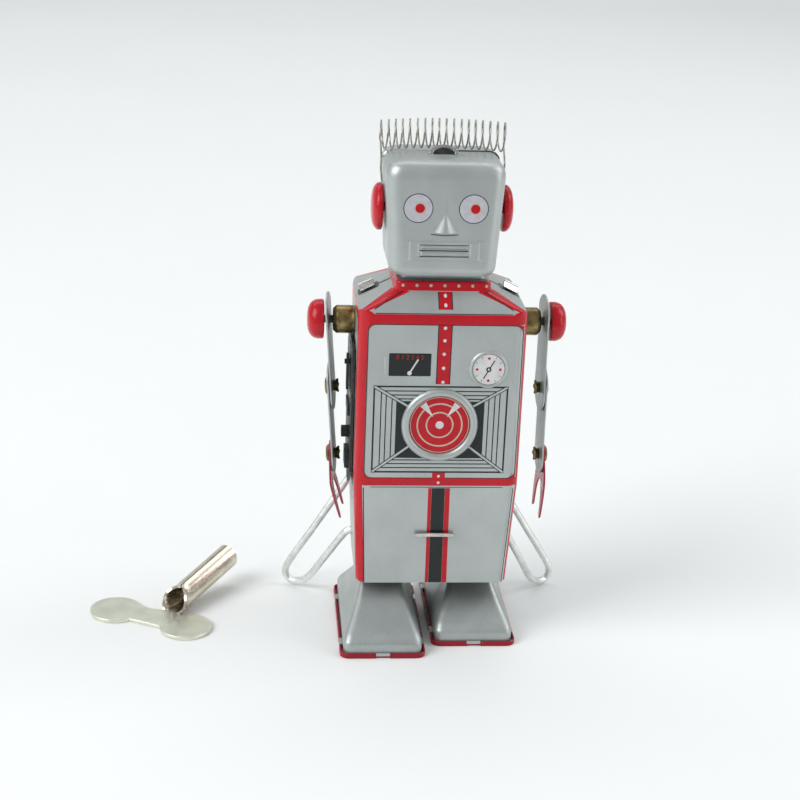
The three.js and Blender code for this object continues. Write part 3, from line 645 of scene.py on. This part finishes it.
class Print:
    """Flat printed shapes of one colour, laid on a pressed surface."""

    def __init__(self, surface):
        self.surface = surface
        self.meshes = []

    def lay(self, mesh, x=0.0, z=0.0):
        """A flat mesh bent onto the surface, with its own origin at (x, z)."""
        for vertex in mesh.vertices:
            across, up, out = vertex.co
            across, up = across + x, up + z
            vertex.co = (across, self.surface(across, up) - out, up)
        self.meshes.append(mesh)

    def add(self, loops, lift):
        """Filled loops; the print with the greater lift lies on top."""
        self.lay(flat_mesh(loops, 2 * lift))

    def disc(self, x, z, radius, lift):
        self.add([circle(radius, x, z)], lift)

    def hoop(self, x, z, outer, inner, lift):
        self.add([circle(outer, x, z, 64), circle(inner, x, z, 64)], lift)

    def line(self, x0, z0, x1, z1, width, lift):
        self.add([bar(x0, z0, x1, z1, width)], lift)

    def frame(self, half_x, z0, z1, width, lift):
        self.add([box_loop(-half_x, half_x, z0, z1),
                  box_loop(-half_x + width, half_x - width, z0 + width, z1 - width)], lift)

    def text(self, words, x, z, size, lift):
        curve = bpy.data.curves.new("words", "FONT")
        curve.body = words
        curve.size = size
        curve.align_x = "CENTER"
        curve.extrude = lift
        self.lay(mesh_of_curve(curve), x, z)

    def place(self, name, material, matrix=None):
        object_from(name, joined(*self.meshes), material, "torso", matrix=matrix)


def print_panel(black, red):
    """Outlines inside the red borders of the front panels."""
    right, left, low, high, corner = -22.0, 23.3, PANEL_LOW, PANEL_HIGH, 2.4
    black.add([box_loop(right, left, low, high, corner),
               box_loop(right + 0.25, left - 0.25, low + 0.22, high - 0.22, corner - 0.25)], 0.03)
    outside = box_loop(right, left, low, high, corner, 8)
    for x, z, first in ((left, high, 0), (right, high, 9), (right, low, 18), (left, low, 27)):
        red.add([[(x, z)] + outside[first:first + 9]], 0.03)
    black.line(right + 0.1, APRON_HIGH, -20.7, APRON_LOW + 0.1, 0.28, 0.03)
    black.line(left - 0.3, APRON_HIGH, 21.5, APRON_LOW + 0.1, 0.22, 0.03)
    for side in (-1, 1):
        black.line(side * 20.2, 106.6, side * 12.1, COLLAR_Z - 0.2, 0.25, 0.03)
    for z, width in ((APRON_HIGH + 0.3, 0.2), (SLOPE_Z + 0.2, 0.22)):
        black.line(-19.8, z, 19.8, z, width, 0.03)


def print_strip(black, red, pale, cream):
    """The narrow strip down the middle with its dots, and the dots round the collar."""
    x, half = 0.4, 1.9
    for low, high in ((84.3, PANEL_HIGH - 0.2), (106.7, COLLAR_Z - 0.2)):
        red.add([box_loop(x - half, x + half, low, high)], 0.045)
        for side in (-1, 1):
            edge = x + side * (half + 0.05)
            black.line(edge, low, edge, high, 0.28, 0.06)
    red.add([box_loop(x - half, x + half, 54.4, 56.4)], 0.045)
    for radius, levels in ((0.5, (101.4, 97.6, 93.5, 89.2, 84.9)), (0.46, (107.7, 109.9)),
                           (0.42, (55.3, 53.2))):
        for z in levels:
            pale.disc(x, z, radius, 0.07)
    # each stripe below the waist runs up from its two lower x values to its two upper ones
    for layer, lift, low, high in ((black, 0.04, (-0.95, 3.05), (-1.4, 2.5)),
                                   (red, 0.05, (-2.0, -1.0), (-2.45, -1.45)),
                                   (red, 0.05, (3.1, 4.6), (2.55, 4.05))):
        layer.add([[(low[0], APRON_LOW), (low[1], APRON_LOW),
                    (high[1], APRON_HIGH), (high[0], APRON_HIGH)]], lift)
    for i in range(7):
        cream.disc(0.3 + (i - 3) * 4.05, 112.5, 0.45, 0.12)


def print_grille(black, red, pale, cream, silver):
    """Nested frames round the loudspeaker, its corner bands and its red disc."""
    half, low, high = 19.8, 56.4, 83.7
    black.frame(half, low, high, 0.5, 0.03)
    for inset_x, inset_z in ((2.2, 1.45), (3.65, 2.7), (5.4, 3.9)):
        black.frame(half - inset_x, low + inset_z, high - inset_z, 0.32, 0.03)
    black.add([box_loop(-13, 13, 61.15, 78.95), circle(10.6, 0, SPEAKER_Z, 64)], 0.035)
    for side in (-1, 1):
        for z in (low + 0.3, high - 0.3):
            corner = Vector((side * (half - 0.3), z - SPEAKER_Z))
            near = corner.normalized() * 10.9
            spots = (corner.x, corner.y + SPEAKER_Z, near.x, near.y + SPEAKER_Z)
            black.line(*spots, 1.1, 0.05)
            silver.line(*spots, 0.6, 0.065)
    red.add([circle(8.97, 0, SPEAKER_Z, 72)], 0.1)
    black.hoop(0, SPEAKER_Z, 9.35, 8.9, 0.11)
    cream.hoop(0, SPEAKER_Z, 8.72, 8.5, 0.12)
    for radius in (6.6, 3.9):
        cream.hoop(0, SPEAKER_Z, radius + 0.22, radius - 0.22, 0.13)
    pale.disc(0, SPEAKER_Z, 1.2, 0.16)
    for side in (-1, 1):
        direction = Vector((side * 0.62, 0.785))
        across = Vector((-direction.y, direction.x))
        outer, inner = direction * 8.2, direction * 3.2
        wedge = [outer + across * 1.1, outer - across * 1.1, inner]
        pale.add([[(p.x, p.y + SPEAKER_Z) for p in wedge]], 0.15)


def print_meter(black, red, pale, silver):
    """A dark scale with figures, a needle, and a silver strip beside it that paints the highlight on
    the pressed edge.
    """
    black.add([box_loop(-15.6, -3.3, 86.7, 93.65, 0.3)], 0.035)
    red.text("0 1 2 3 4 5", -9.45, 91.85, 1.85, 0.06)
    pale.line(-9.5, 87.6, -7.1, 91.8, 0.45, 0.07)
    pale.disc(-9.5, 87.6, 0.65, 0.08)
    # painted highlight: a silver strip along the scale's pressed left edge
    silver.add([box_loop(-17.1, -16.3, 87, 92.5, 0.35)], 0.12)


def print_dial(black, red, pale):
    x, z = DIAL
    black.disc(x, z, 4.95, 0.03)
    pale.disc(x, z, 4.65, 0.05)
    for i in range(12):
        angle = i * math.pi / 6
        sx, sz = math.sin(angle), math.cos(angle)
        if i % 3 == 0:
            red.disc(x + 3.4 * sx, z + 3.4 * sz, 0.4, 0.08)
        else:
            black.line(x + 3.7 * sx, z + 3.7 * sz, x + 4.3 * sx, z + 4.3 * sz, 0.16, 0.06)
    black.line(12.2, 86.1, 15.3, 91.7, 0.3, 0.09)
    black.disc(x, z, 0.75, 0.1)
    pale.disc(x, z, 0.32, 0.12)


def make_body_print():
    layers = {name: Print(front_y) for name in ("black", "red", "dial", "cream", "silver")}
    black, red, pale, cream, silver = layers.values()
    print_panel(black, red)
    print_strip(black, red, pale, cream)
    print_grille(black, red, pale, cream, silver)
    print_meter(black, red, pale, silver)
    print_dial(black, red, pale)
    for name, layer in layers.items():
        layer.place(f"body_print_{name}", INKS[name])


def make_front_rims():
    """The pressed rims round the loudspeaker and the dial."""
    speaker = [(9.0, -0.1), (9.0, 0.35), (9.25, 0.85), (9.8, 1.15), (10.4, 1.15), (10.95, 0.85),
               (11.3, 0.3), (11.35, -0.1)]
    dial = [(4.75, 0), (4.9, 0.3), (5.2, 0.42), (5.5, 0.3), (5.75, 0)]
    for name, profile, segments, x, z in (("speaker", speaker, 72, 0, SPEAKER_Z),
                                          ("dial", dial, 60, *DIAL)):
        rim = revolve(profile, segments)
        rim.transform(Matrix.Translation((x, -BODY_DEPTH, z)) @ Matrix.Rotation(math.pi / 2, 4, "X"))
        object_from(f"{name}_rim", rim, SILVER, "torso")


def make_face_print():
    """The eyes, the three lines of the mouth, and a dark line over the mouth that paints the shadow
    under the nose.
    """
    layers = {name: Print(face_y) for name in ("black", "red", "white", "cream")}
    black, red, white, cream = layers.values()
    for side in (-1, 1):
        x, z = side * EYE[0], EYE[1]
        black.disc(x, z, 4.25, 0.03)
        white.disc(x, z, 4.02, 0.05)
        red.disc(x + 0.5, z, 1.35, 0.08)
        cream.hoop(x + 0.5, z, 1.7, 1.35, 0.06)
    for offset, width in ((1.65, 0.26), (0, 0.3), (-1.65, 0.24)):
        z = MOUTH_Z + offset
        black.add([box_loop(-7.0, 7.0, z - width / 2, z + width / 2)], 0.05)
    # painted shadow: a thin dark curve just under the nose's lower edge
    lip = [(x / 4, 128.5 - 0.3 * math.cos(x / 4 * 0.38)) for x in range(-16, 17)]
    black.add([lip + [(x, z - 0.2) for x, z in reversed(lip)]], 0.05)
    for name, layer in layers.items():
        layer.place(f"face_print_{name}", INKS[name], HEAD_SHIFT)


# ---------- pieces on the head and shoulders ----------
def make_ears():
    radius, thick = EAR["radius"], EAR["thick"]
    profile = [(0, -2.5), (1.5, -2.5), (1.5, 0.2), (radius - 0.7, 0), (radius - 0.2, 0.15),
               (radius, 0.5), (radius, 1.2), (radius - 0.25, 1.7), (radius - 0.9, 2.3),
               (radius - 1.9, 2.8), (radius - 3.4, thick - 0.1), (0, thick)]
    for name, side in SIDES:
        mesh = turned_x([(r, x + EAR[name]) for r, x in profile], side, EAR["y"], EAR["z"], 56)
        object_from(f"ear_disc_{name}", mesh, RED, "torso", [f"ear_{name}"], HEAD_SHIFT,
                    sharp=50)


def make_coil():
    """One wire: up from behind one ear, round the coil across the crown and down the other side."""
    y, z, radius, half, turns = (COIL[key] for key in ("y", "z", "radius", "half", "turns"))
    steps = round(26 * turns)
    wave = []
    for i in range(steps + 1):
        angle = 2 * math.pi * turns * i / steps
        reach = radius * min(1.0, 1 + 0.012 * math.sin(i * 0.21))
        along = 2 * i / steps - 1
        wave.append((half * along + 0.1 * math.sin(i * 0.047), y - reach * math.cos(angle),
                     z - COIL["sag"] * along ** 2 + reach * math.sin(angle)))
    front = y - radius
    foot = [(17.9, front + 0.4, 144), (17.45, front + 0.4, 140.2)]
    left = [(18.35, y + 3, z - 3.6), (18.1, y - 0.6, z - 5.4), (17.95, front + 0.6, z - 7.4), *foot]
    right = [(-x, py, height) for x, py, height in
             reversed([(18.2, front, z - 2.4), (17.95, front, z - 6), *foot])]
    path = smooth_path(right + [wave[0]], 5)[:-1] + wave + smooth_path([wave[-1]] + left, 5)[1:]
    object_from("spring_coil", tube_mesh(path, COIL["wire"], 8), SPRING, "torso",
                ["antenna_spring"], HEAD_SHIFT, sharp=60)


def make_crown_seam():
    """The dark line on the crown and left cheek where the head's shells meet."""
    seam = [(x, HEAD_SEAM_Y, 148.62) for x in (4.2, 9, 12, 14)]
    seam += [(x, HEAD_SEAM_Y, height) for x, height in
             ((15.3, 148.3), (16.4, 147.5), (17.0, 146), (17.15, 143))]
    object_from("crown_seam", tube_mesh(smooth_path(seam, 4), 0.24, 8), INKS["black"], "torso",
                matrix=HEAD_SHIFT)


def make_clip():
    """A bent ring half that holds the coil to the crown, with a dark pad filling its opening that
    paints the shade in the gap.
    """
    lean = Matrix.Rotation(math.pi / 2 - 0.6, 4, "X")
    ring = arc(4.3, 0, 180, 24, tall=2.9) + arc(3.3, 180, 0, 24, tall=2.1)
    clip = flat_mesh([ring], 0.5, 0.14)
    clip.transform(Matrix.Translation((0, -4.2, 149.1)) @ lean)
    # painted shade: a dark steel pad fills the ring's opening, where there is only shade
    shade_pad = flat_mesh([arc(3.2, 0, 180, 20, tall=2.05)], 0.16)
    shade_pad.transform(Matrix.Translation((0, -4.2, 149.0)) @ lean)
    object_from("clip_ring", clip, STEEL, "torso", ["spring_clip"], HEAD_SHIFT)
    object_from("clip_gap_shade", shade_pad, DARK, "torso", matrix=HEAD_SHIFT)


def make_front_bar():
    """The bright bar across the apron, bowed a little upwards."""
    bow = [(-5.8 + 11.6 * i / 24, 0.12 * math.cos((i / 12 - 1) * math.pi / 2)) for i in range(25)]
    loop = [(x, 35.4 + lift) for x, lift in bow] + [(x, 36.7 + lift) for x, lift in reversed(bow)]
    plate = flat_mesh([loop], 0.8, 0.22)
    plate.transform(Matrix.Translation((0, -18.5, 0)) @ TO_FRONT)
    feet = [block_mesh(side * 5 - 0.5, side * 5 + 0.5, -18.3, -16.2, 35.6, 36.5) for side in (-1, 1)]
    object_from("front_bar", joined(plate, *feet), STEEL, "torso", ["front_tab"])


def make_shoulder_tabs():
    """Folded tabs over the seam on the shoulders, each on a black slot made wider than the tab to
    paint its shadow, and on a black seam line.
    """
    low, high = BODY_RINGS[2:4]
    slope = math.atan2(high[0] - low[0], low[1] - high[1])
    for name, side in SIDES:
        place = Matrix.Translation((side * 21.1, 0, 107.95)) @ Matrix.Rotation(side * slope, 4, "Y")
        fold = tube_mesh([(-2.3, 1.1, 1.35), (2.3, 1.1, 1.35)], 0.65, 16)
        plate = flat_mesh([box_loop(-2.4, 2.4, -1.7, 0.8, 0.35)], 0.6, 0.18)
        plate.transform(Matrix.Translation((0, 0.2, 0.95)) @ Matrix.Rotation(0.6, 4, "X"))
        tongue = block_mesh(-1.1, 1.1, -0.28, 0.28, -2.5, 0.3)
        object_from(f"folded_tab_{name}", joined(plate, tongue, fold), STEEL, "torso",
                    [f"shoulder_tab_{name}"], place)
        # painted shadow: the black slot is larger than the tab and paints the tab's shadow round it;
        # the seam strip is the dark joint
        slot = flat_mesh([box_loop(-3.3, 3.3, -2.7, 2.7, 0.5)], 0.06)
        seam = flat_mesh([box_loop(*sorted((-7.7 * side, -3.1 * side)), -0.45, 0.45)], 0.06)
        shadow_and_seam = joined(slot, seam)
        shadow_and_seam.transform(place @ Matrix.Translation((0, 0, -0.27)))
        object_from(f"tab_slot_shadow_{name}", shadow_and_seam, INKS["black"], "torso")


def make_bushes():
    profile = [(1.45, 24.9), (4.2, 24.9), (4.2, 25.3), (4.05, 25.5), (4.2, 25.8), (4.2, 29.9),
               (4.12, 30.25), (3.35, 31.05), (3.2, 31.15), (2.6, 31.2), (2.5, 30.7), (1.45, 30.7)]
    for name, side in SIDES:
        mesh = turned_x(profile, side, *SHOULDER, 56, closed=True)
        object_from(f"bush_{name}", mesh, BRASS, "torso", [f"shoulder_bush_{name}"])


# ---------- arms ----------
def strap_loop(length, top, bottom, waist):
    """A strap with round ends of two radii and slightly hollow sides."""
    start, end = arc(top, 27, 153, 24), arc(bottom, 180, 360, 32, 0, -length)
    corners = [Vector(p) for p in (start[-1], (-waist, -length / 2), end[0])]
    side = [tuple(bend(*corners, i / 16)) for i in range(1, 17)]
    return start + side + end[1:-1] + [(-x, y) for x, y in reversed(side)]


def hand_loop():
    """A round top over two prongs: three curves down and up one side, then their mirror."""
    route = [Vector(p) for p in ((3.6, 0.4), (8.2, -6.4), (6.2, -17.7), (5.6, -21), (4.3, -18),
                                 (4.4, -10), (0, -8))]
    half = [tuple(bend(*route[k:k + 3], i / 12)) for k in (0, 2, 4) for i in range(1, 13)]
    return arc(3.6, 180, 0, 20, 0, 0.4) + half + [(-x, y) for x, y in reversed(half[:-1])]


def rivet_mesh(strap, side, z):
    """Hollow rivet: a rolled head outside and a split, flared end inside."""
    outer = (strap + 1) * STRAP_STEP + STRAP_THICK / 2 + 0.3
    inner = strap * STRAP_STEP - STRAP_THICK / 2 - 0.3
    profile = [(0.75, inner - 0.2), (1.15, inner - 1.05), (1.9, inner - 1.1), (2.05, inner - 0.8),
               (1.6, inner - 0.2), (1.5, inner), (1.5, outer), (2.6, outer), (2.6, outer + 0.3),
               (2.35, outer + 0.62), (1.9, outer + 0.78), (1.4, outer + 0.72), (1.05, outer + 0.35),
               (0.8, outer - 0.3)]
    mesh = revolve(profile, 40, closed=True)
    for vertex in mesh.vertices:
        x, y, height = vertex.co
        if height < inner - 0.4:
            angle = math.atan2(y, x)
            ragged = 1 + 0.1 * math.sin(5 * angle + 0.7) + 0.05 * math.sin(11 * angle)
            vertex.co = (x * ragged, y * ragged, height - 0.12 * math.sin(5 * angle + 0.7))
    return laid_on_x(mesh, side, 0, z)


def make_arms():
    cap = [(0, 36.7), (1.45, 36.7), (1.45, 33.9), (5.5, 33.9), (5.8, 34.02), (5.95, 34.35),
           (5.93, 35.7), (5.75, 36.5), (5.3, 37.4), (4.5, 38.1), (3.4, 38.6), (1.9, 38.85), (0, 38.9)]
    axle = [(0, 21), (2.2, 21), (2.2, 21.8), (1.15, 21.8), (1.15, 36.5), (0, 36.5)]
    for name, side in SIDES:
        object_from(f"axle_{name}", turned_x(axle, side, *SHOULDER, 24), DARK, f"arm_{name}",
                    [f"shoulder_axle_{name}"])
        object_from(f"cap_{name}", turned_x(cap, side, *SHOULDER, 64), RED, f"arm_{name}",
                    [f"shoulder_cap_{name}"], sharp=50)
        lean, splay = (math.radians(v) for v in ARM_POSE[name])
        hang = (Matrix.Translation((side * STRAP_X, *SHOULDER)) @ Matrix.Rotation(splay, 4, "Z")
                @ Matrix.Rotation(lean, 4, "Y"))

        def plate(loops, out, z, prongs=0.0):
            mesh = flat_mesh(loops, STRAP_THICK, 0.12)
            for vertex in mesh.vertices:
                vertex.co.z -= side * prongs * max(0.0, -8 - vertex.co.y) / 12
            mesh.transform(hang @ Matrix.Translation((side * out * STRAP_STEP, 0, z)) @ TO_SIDE)
            return mesh

        upper = plate([strap_loop(UPPER_ARM, 8.2, 7.2, 5.6), circle(1.55),
                       circle(RIVET_HOLE, 0, -UPPER_ARM)], 0, 0)
        lower = plate([strap_loop(LOWER_ARM, 7.2, 6, 5), circle(RIVET_HOLE),
                       circle(RIVET_HOLE, 0, -LOWER_ARM)], 1, -UPPER_ARM)
        claw = plate([hand_loop(), circle(RIVET_HOLE)], 2, -UPPER_ARM - LOWER_ARM, HAND_LEAN[name])
        for label, mesh, material, body, slot, node in (
                ("arm_strap", upper, SILVER, "arm", "silver_paint", "upper_arm"),
                ("forearm_strap", lower, SILVER, "forearm", "silver_paint", "lower_arm"),
                ("claw_plate", claw, CLAW_RED, "claw", "red_paint", "hand")):
            object_from(f"{label}_{name}", mesh, material, f"{body}_{name}", [f"{node}_{name}"])
        for strap, label, body, z in ((0, "elbow", "arm", -UPPER_ARM),
                                      (1, "wrist", "forearm", -UPPER_ARM - LOWER_ARM)):
            object_from(f"{label}_eyelet_{name}", rivet_mesh(strap, side, z), BRASS, f"{body}_{name}",
                        [f"{label}_rivet_{name}"], hang)


# ---------- legs, feet and the wire behind them ----------
def foot_rings():
    """Height, half width, front, back and corner radius, from the toe's edge up to the leg's top."""
    half, front, back, corner = 6.05, -4.9, 9, 1.6
    rows = [(z, 11.9, -23.6, 23.6, 2.4) for z in (1, 4.4)]
    for i in range(1, 11):
        t = 1 - i / 10
        rows.append((18 - 13 * t, half + 5.85 * t ** 1.3, front - 18.5 * t, back + 14.4 * t,
                     corner + 0.8 * t))
    rows.append((48, half, front, back, corner))
    return rows


def lofted(rows, centre_x, centre_y):
    """A skin over rounded sections, with a lid."""
    points = []
    for z, half, front, back, radius in rows:
        loop = box_loop(-half, half, front, back, radius)
        points += [(x + centre_x, y + centre_y, z) for x, y in loop]
    across = len(points) // len(rows)
    lid = range(len(points) - across, len(points))
    return raw_mesh(points, grid_faces(len(rows), across, closed=True) + [list(lid)])


def make_legs():
    rows = rounded(foot_rings(), 0.9, 4)
    for name, side in SIDES:
        x = LEG_X[name]
        y = LEG_Y + side * CRANK_THROW
        inner = (5, x) if side > 0 else (x, -5)
        holes = [rod_mesh(1.3, *inner, side * CRANK_THROW, CRANK_Z),
                 rod_mesh(5.2, x - 9, x + 9, 1 + side * CRANK_THROW, GUIDE_Z)]
        mesh = carved(lofted(rows, x, y), holes, SHEET)
        object_from(f"leg_{name}_foot", mesh, FOOT_SILVER_SHADED, f"leg_{name}",
                    [f"leg_shell_{name}"], sharp=40)

        def outline(inset):
            half_x, half_y, radius = (size - inset for size in SOLE)
            return box_loop(x - half_x, x + half_x, y - half_y, y + half_y, radius, 8)

        floor = flat_mesh([outline(0)], 0.6, 0.14)
        floor.transform(Matrix.Translation((0, 0, 0.3)))
        wall = flat_mesh([outline(0.02), outline(0.5)], 1.15, 0.2)
        wall.transform(Matrix.Translation((0, 0, 0.93)))
        # gaps in the turned-up rim, with the leg's own folded tabs in them
        gaps = [block_mesh(x - 2.2, x + 2.2, y - 25, y - 23.95, -1, 5)]
        tabs = [block_mesh(x - 2.1, x + 2.1, y - 24.3, y - 23.6, 0.7, 1.7)]
        for edge in (-1, 1):
            for low, high in ((-18, -14), (12.6, 16)):
                outer, lip = sorted((x + edge * 14, x + edge * 12.5))
                gaps.append(block_mesh(outer, lip, y + low, y + high, -1, 5))
                outer, lip = sorted((x + edge * 12.95, x + edge * 11.9))
                tabs.append(block_mesh(outer, lip, y + low + 0.1, y + high - 0.1, 0.4, 1.6))
        object_from(f"sole_tray_{name}", joined(carved(floor, gaps), carved(wall, gaps)), RED_RIM,
                    f"leg_{name}", [f"sole_{name}"])
        object_from(f"foot_tabs_{name}", joined(*tabs), FOOT_SILVER_SHADED, f"leg_{name}")


def make_easel():
    y, z = WIRE_HOLE
    half = [(22, y, z), (24.2, y, z), (26, 6.1, 25.2), (31.5, 11.2, 14.8), (36.4, 17.4, 4.8),
            (39.4, 20.2, 2), (42.3, 22.2, 1.75), (43.7, 22.8, 4.2), (42.3, 22.6, 8.4), (34, 21.2, 22),
            (23, 20.6, 40), (17, 20.4, 50.4), (13.6, 20.4, 53.4)]
    route = half + [(-px, py, pz) for px, py, pz in reversed(half)]
    wire = tube_mesh(smooth_path(route, 10), WIRE_RADIUS, 16)
    object_from("easel_bail", wire, ZINC, "easel", ["easel_wire"], sharp=60)


# ---------- the loose key ----------
def bow_loop():
    """Dumbbell outline: two lobes, a straight front waist and a rear edge that rises to the neck."""
    lobe, spread, centre = KEY["lobe"], KEY["spread"], KEY["centre"]
    loop = arc(lobe, 50, 330, 56, -spread, centre) + arc(lobe, -150, 130, 56, spread, centre)
    rise = [(8.3, 7.3), (7.2, 6.7), (6.6, 8.2), (6.4, 9.4), (1.8, 9.4), (1.2, 8.0), (0.0, 6.9),
            (-4, 6.3), (-8.3, 7.3)]
    return loop + [tuple(p) for p in smooth_path(rise, 4)[1:-1]]


def barrel_mesh():
    """Sheet rolled from a flat neck into a tube whose edges meet along a seam."""
    neck, flat, full_roll = KEY["neck"], KEY["neck_width"], math.radians(356)
    full_width = full_roll * (KEY["tube"] - KEY["wall"] / 2)
    tilt = math.radians(KEY["tilt"])
    points = []
    stations = [i / 14 for i in range(15)] + [1 + (i + 1) / 12 for i in range(12)]
    for s in stations:
        rolled = min(1.0, s)
        roll = full_roll * rolled ** 0.7 + 0.02
        curl = (flat + (full_width - flat) * rolled ** 0.9) / roll
        reach = neck * rolled + KEY["length"] * max(0.0, s - 1)
        run = reach * math.cos(tilt) if s > 1 else reach
        rise = max(0.0, reach - neck) * math.sin(tilt) + 0.25 * rolled
        for k in range(49):
            angle = roll * (k / 48 - 0.5)
            points.append((curl * math.sin(angle), run, rise + curl * (1 - math.cos(angle))))
    mesh = raw_mesh(points, grid_faces(len(stations), 49))
    heading = Matrix.Rotation(-math.radians(KEY["heading"]), 4, "Z")
    mesh.transform(Matrix.Translation((4, 6.7, 1.0)) @ heading)
    return mesh


def make_key():
    bow = flat_mesh([bow_loop()], KEY["plate"], 0.22)
    bow.transform(Matrix.Translation((0, 0, KEY["plate"] / 2)))
    rolled = carved(barrel_mesh(), [], KEY["wall"])
    turn = Matrix.Rotation(math.radians(KEY["turn"]), 4, "Z")
    place = Matrix.Translation((KEY["x"], KEY["y"], 0)) @ turn
    object_from("key_bow", bow, NICKEL_BOW, "key", ["winding_key"], place, sharp=45)
    object_from("key_barrel", rolled, NICKEL, "key", matrix=place, sharp=45)


# ---------- the clockwork, which is the CAD's own pieces with finishes ----------
def finish_clockwork():
    outside = ("frame_plate_right", "stop_lever", "winding_arbor")
    for name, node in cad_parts.items():
        if node.hide_render:
            continue
        brassy = "wheel" in name and "ratchet" not in name
        dark = name in outside or name == "mainspring"
        node.data.materials.clear()
        node.data.materials.append(DARK if dark else GEAR_BRASS if brassy else STEEL)
        bevel = node.modifiers.new("worn_edges", "BEVEL")
        bevel.width = (0.25 if name in outside else 0.06) * MM
        bevel.segments = 2
        bevel.limit_method = "ANGLE"


# ---------- stage ----------
def sweep_backdrop():
    """Pale table that curves up far behind the toy."""
    profile = [(-0.37, 0.0), *arc(0.9, -90, 0, 24, 1.6, 0.9), (2.5, 4.0)]
    points = [(x, y, z) for y, z in profile for x in (-5.0, 5.0)]
    mesh = raw_mesh(points, grid_faces(len(profile), 2))
    mesh.shade_smooth()
    n = Nodes("pale_paper")
    cloud = n.ramp(n.noise(3, detail=2), 0.3, 0.7)
    n.drive("Base Color", n.mix(cloud, (0.85, 0.875, 0.87), (0.87, 0.895, 0.89)))
    n.drive("Roughness", n.ramp(n.noise(40), 0.3, 0.7, 0.55, 0.65))
    n.bump((n.noise(900, detail=3), 0.05, 0.0001))
    mesh.materials.append(n.material)
    linked("backdrop", mesh)


def light(name, place, aim, size, power):
    data = bpy.data.lights.new(name, "AREA")
    data.shape = "RECTANGLE"
    data.size, data.size_y = size
    data.energy = power
    obj = linked(name, data)
    obj.location = place
    obj.rotation_euler = (Vector(aim) - Vector(place)).to_track_quat("-Z", "Y").to_euler()


def make_lights():
    aim = (0, 0, 0.07)
    light("key_soft", (-1.0, -0.45, 0.9), aim, (0.8, 0.9), 13)
    light("right_soft", (1.05, 0.1, 0.95), aim, (0.6, 0.8), 5)
    light("right_strip", (0.95, -0.45, 0.3), aim, (0.25, 0.6), 1.6)
    light("backdrop_wash", (0, 0.95, 1.5), (0, 1.4, 0), (2.4, 0.7), 11)
    world = bpy.data.worlds.new("studio")
    world.use_nodes = True
    background = world.node_tree.nodes["Background"]
    background.inputs["Color"].default_value = (0.97, 0.98, 1.0, 1)
    background.inputs["Strength"].default_value = 0.42
    bpy.context.scene.world = world
    bpy.context.scene.view_settings.view_transform = "Standard"


def make_camera():
    place = TO_ROW @ Vector((-54.456, -483.585, 247.441))
    aim = TO_ROW @ Vector((-10.361, -1.419, 73.005))
    back = (place - aim).normalized()
    right = Vector((0, 0, 1)).cross(back).normalized()
    up = back.cross(right)
    turn = Matrix((right, up, back)).transposed() @ Matrix.Rotation(math.radians(2.236), 3, "Z")
    data = bpy.data.cameras.new("camera")
    data.lens = 76.47
    data.sensor_width = 36
    data.clip_end = 50
    obj = linked("camera", data)
    obj.matrix_world = Matrix.Translation(place) @ turn.to_4x4()
    bpy.context.scene.camera = obj


make_body()
make_head()
make_body_print()
make_front_rims()
make_face_print()
make_ears()
make_coil()
make_crown_seam()
make_clip()
make_front_bar()
make_shoulder_tabs()
make_bushes()
make_arms()
make_legs()
make_easel()
make_key()
finish_clockwork()
sweep_backdrop()
make_lights()
make_camera()
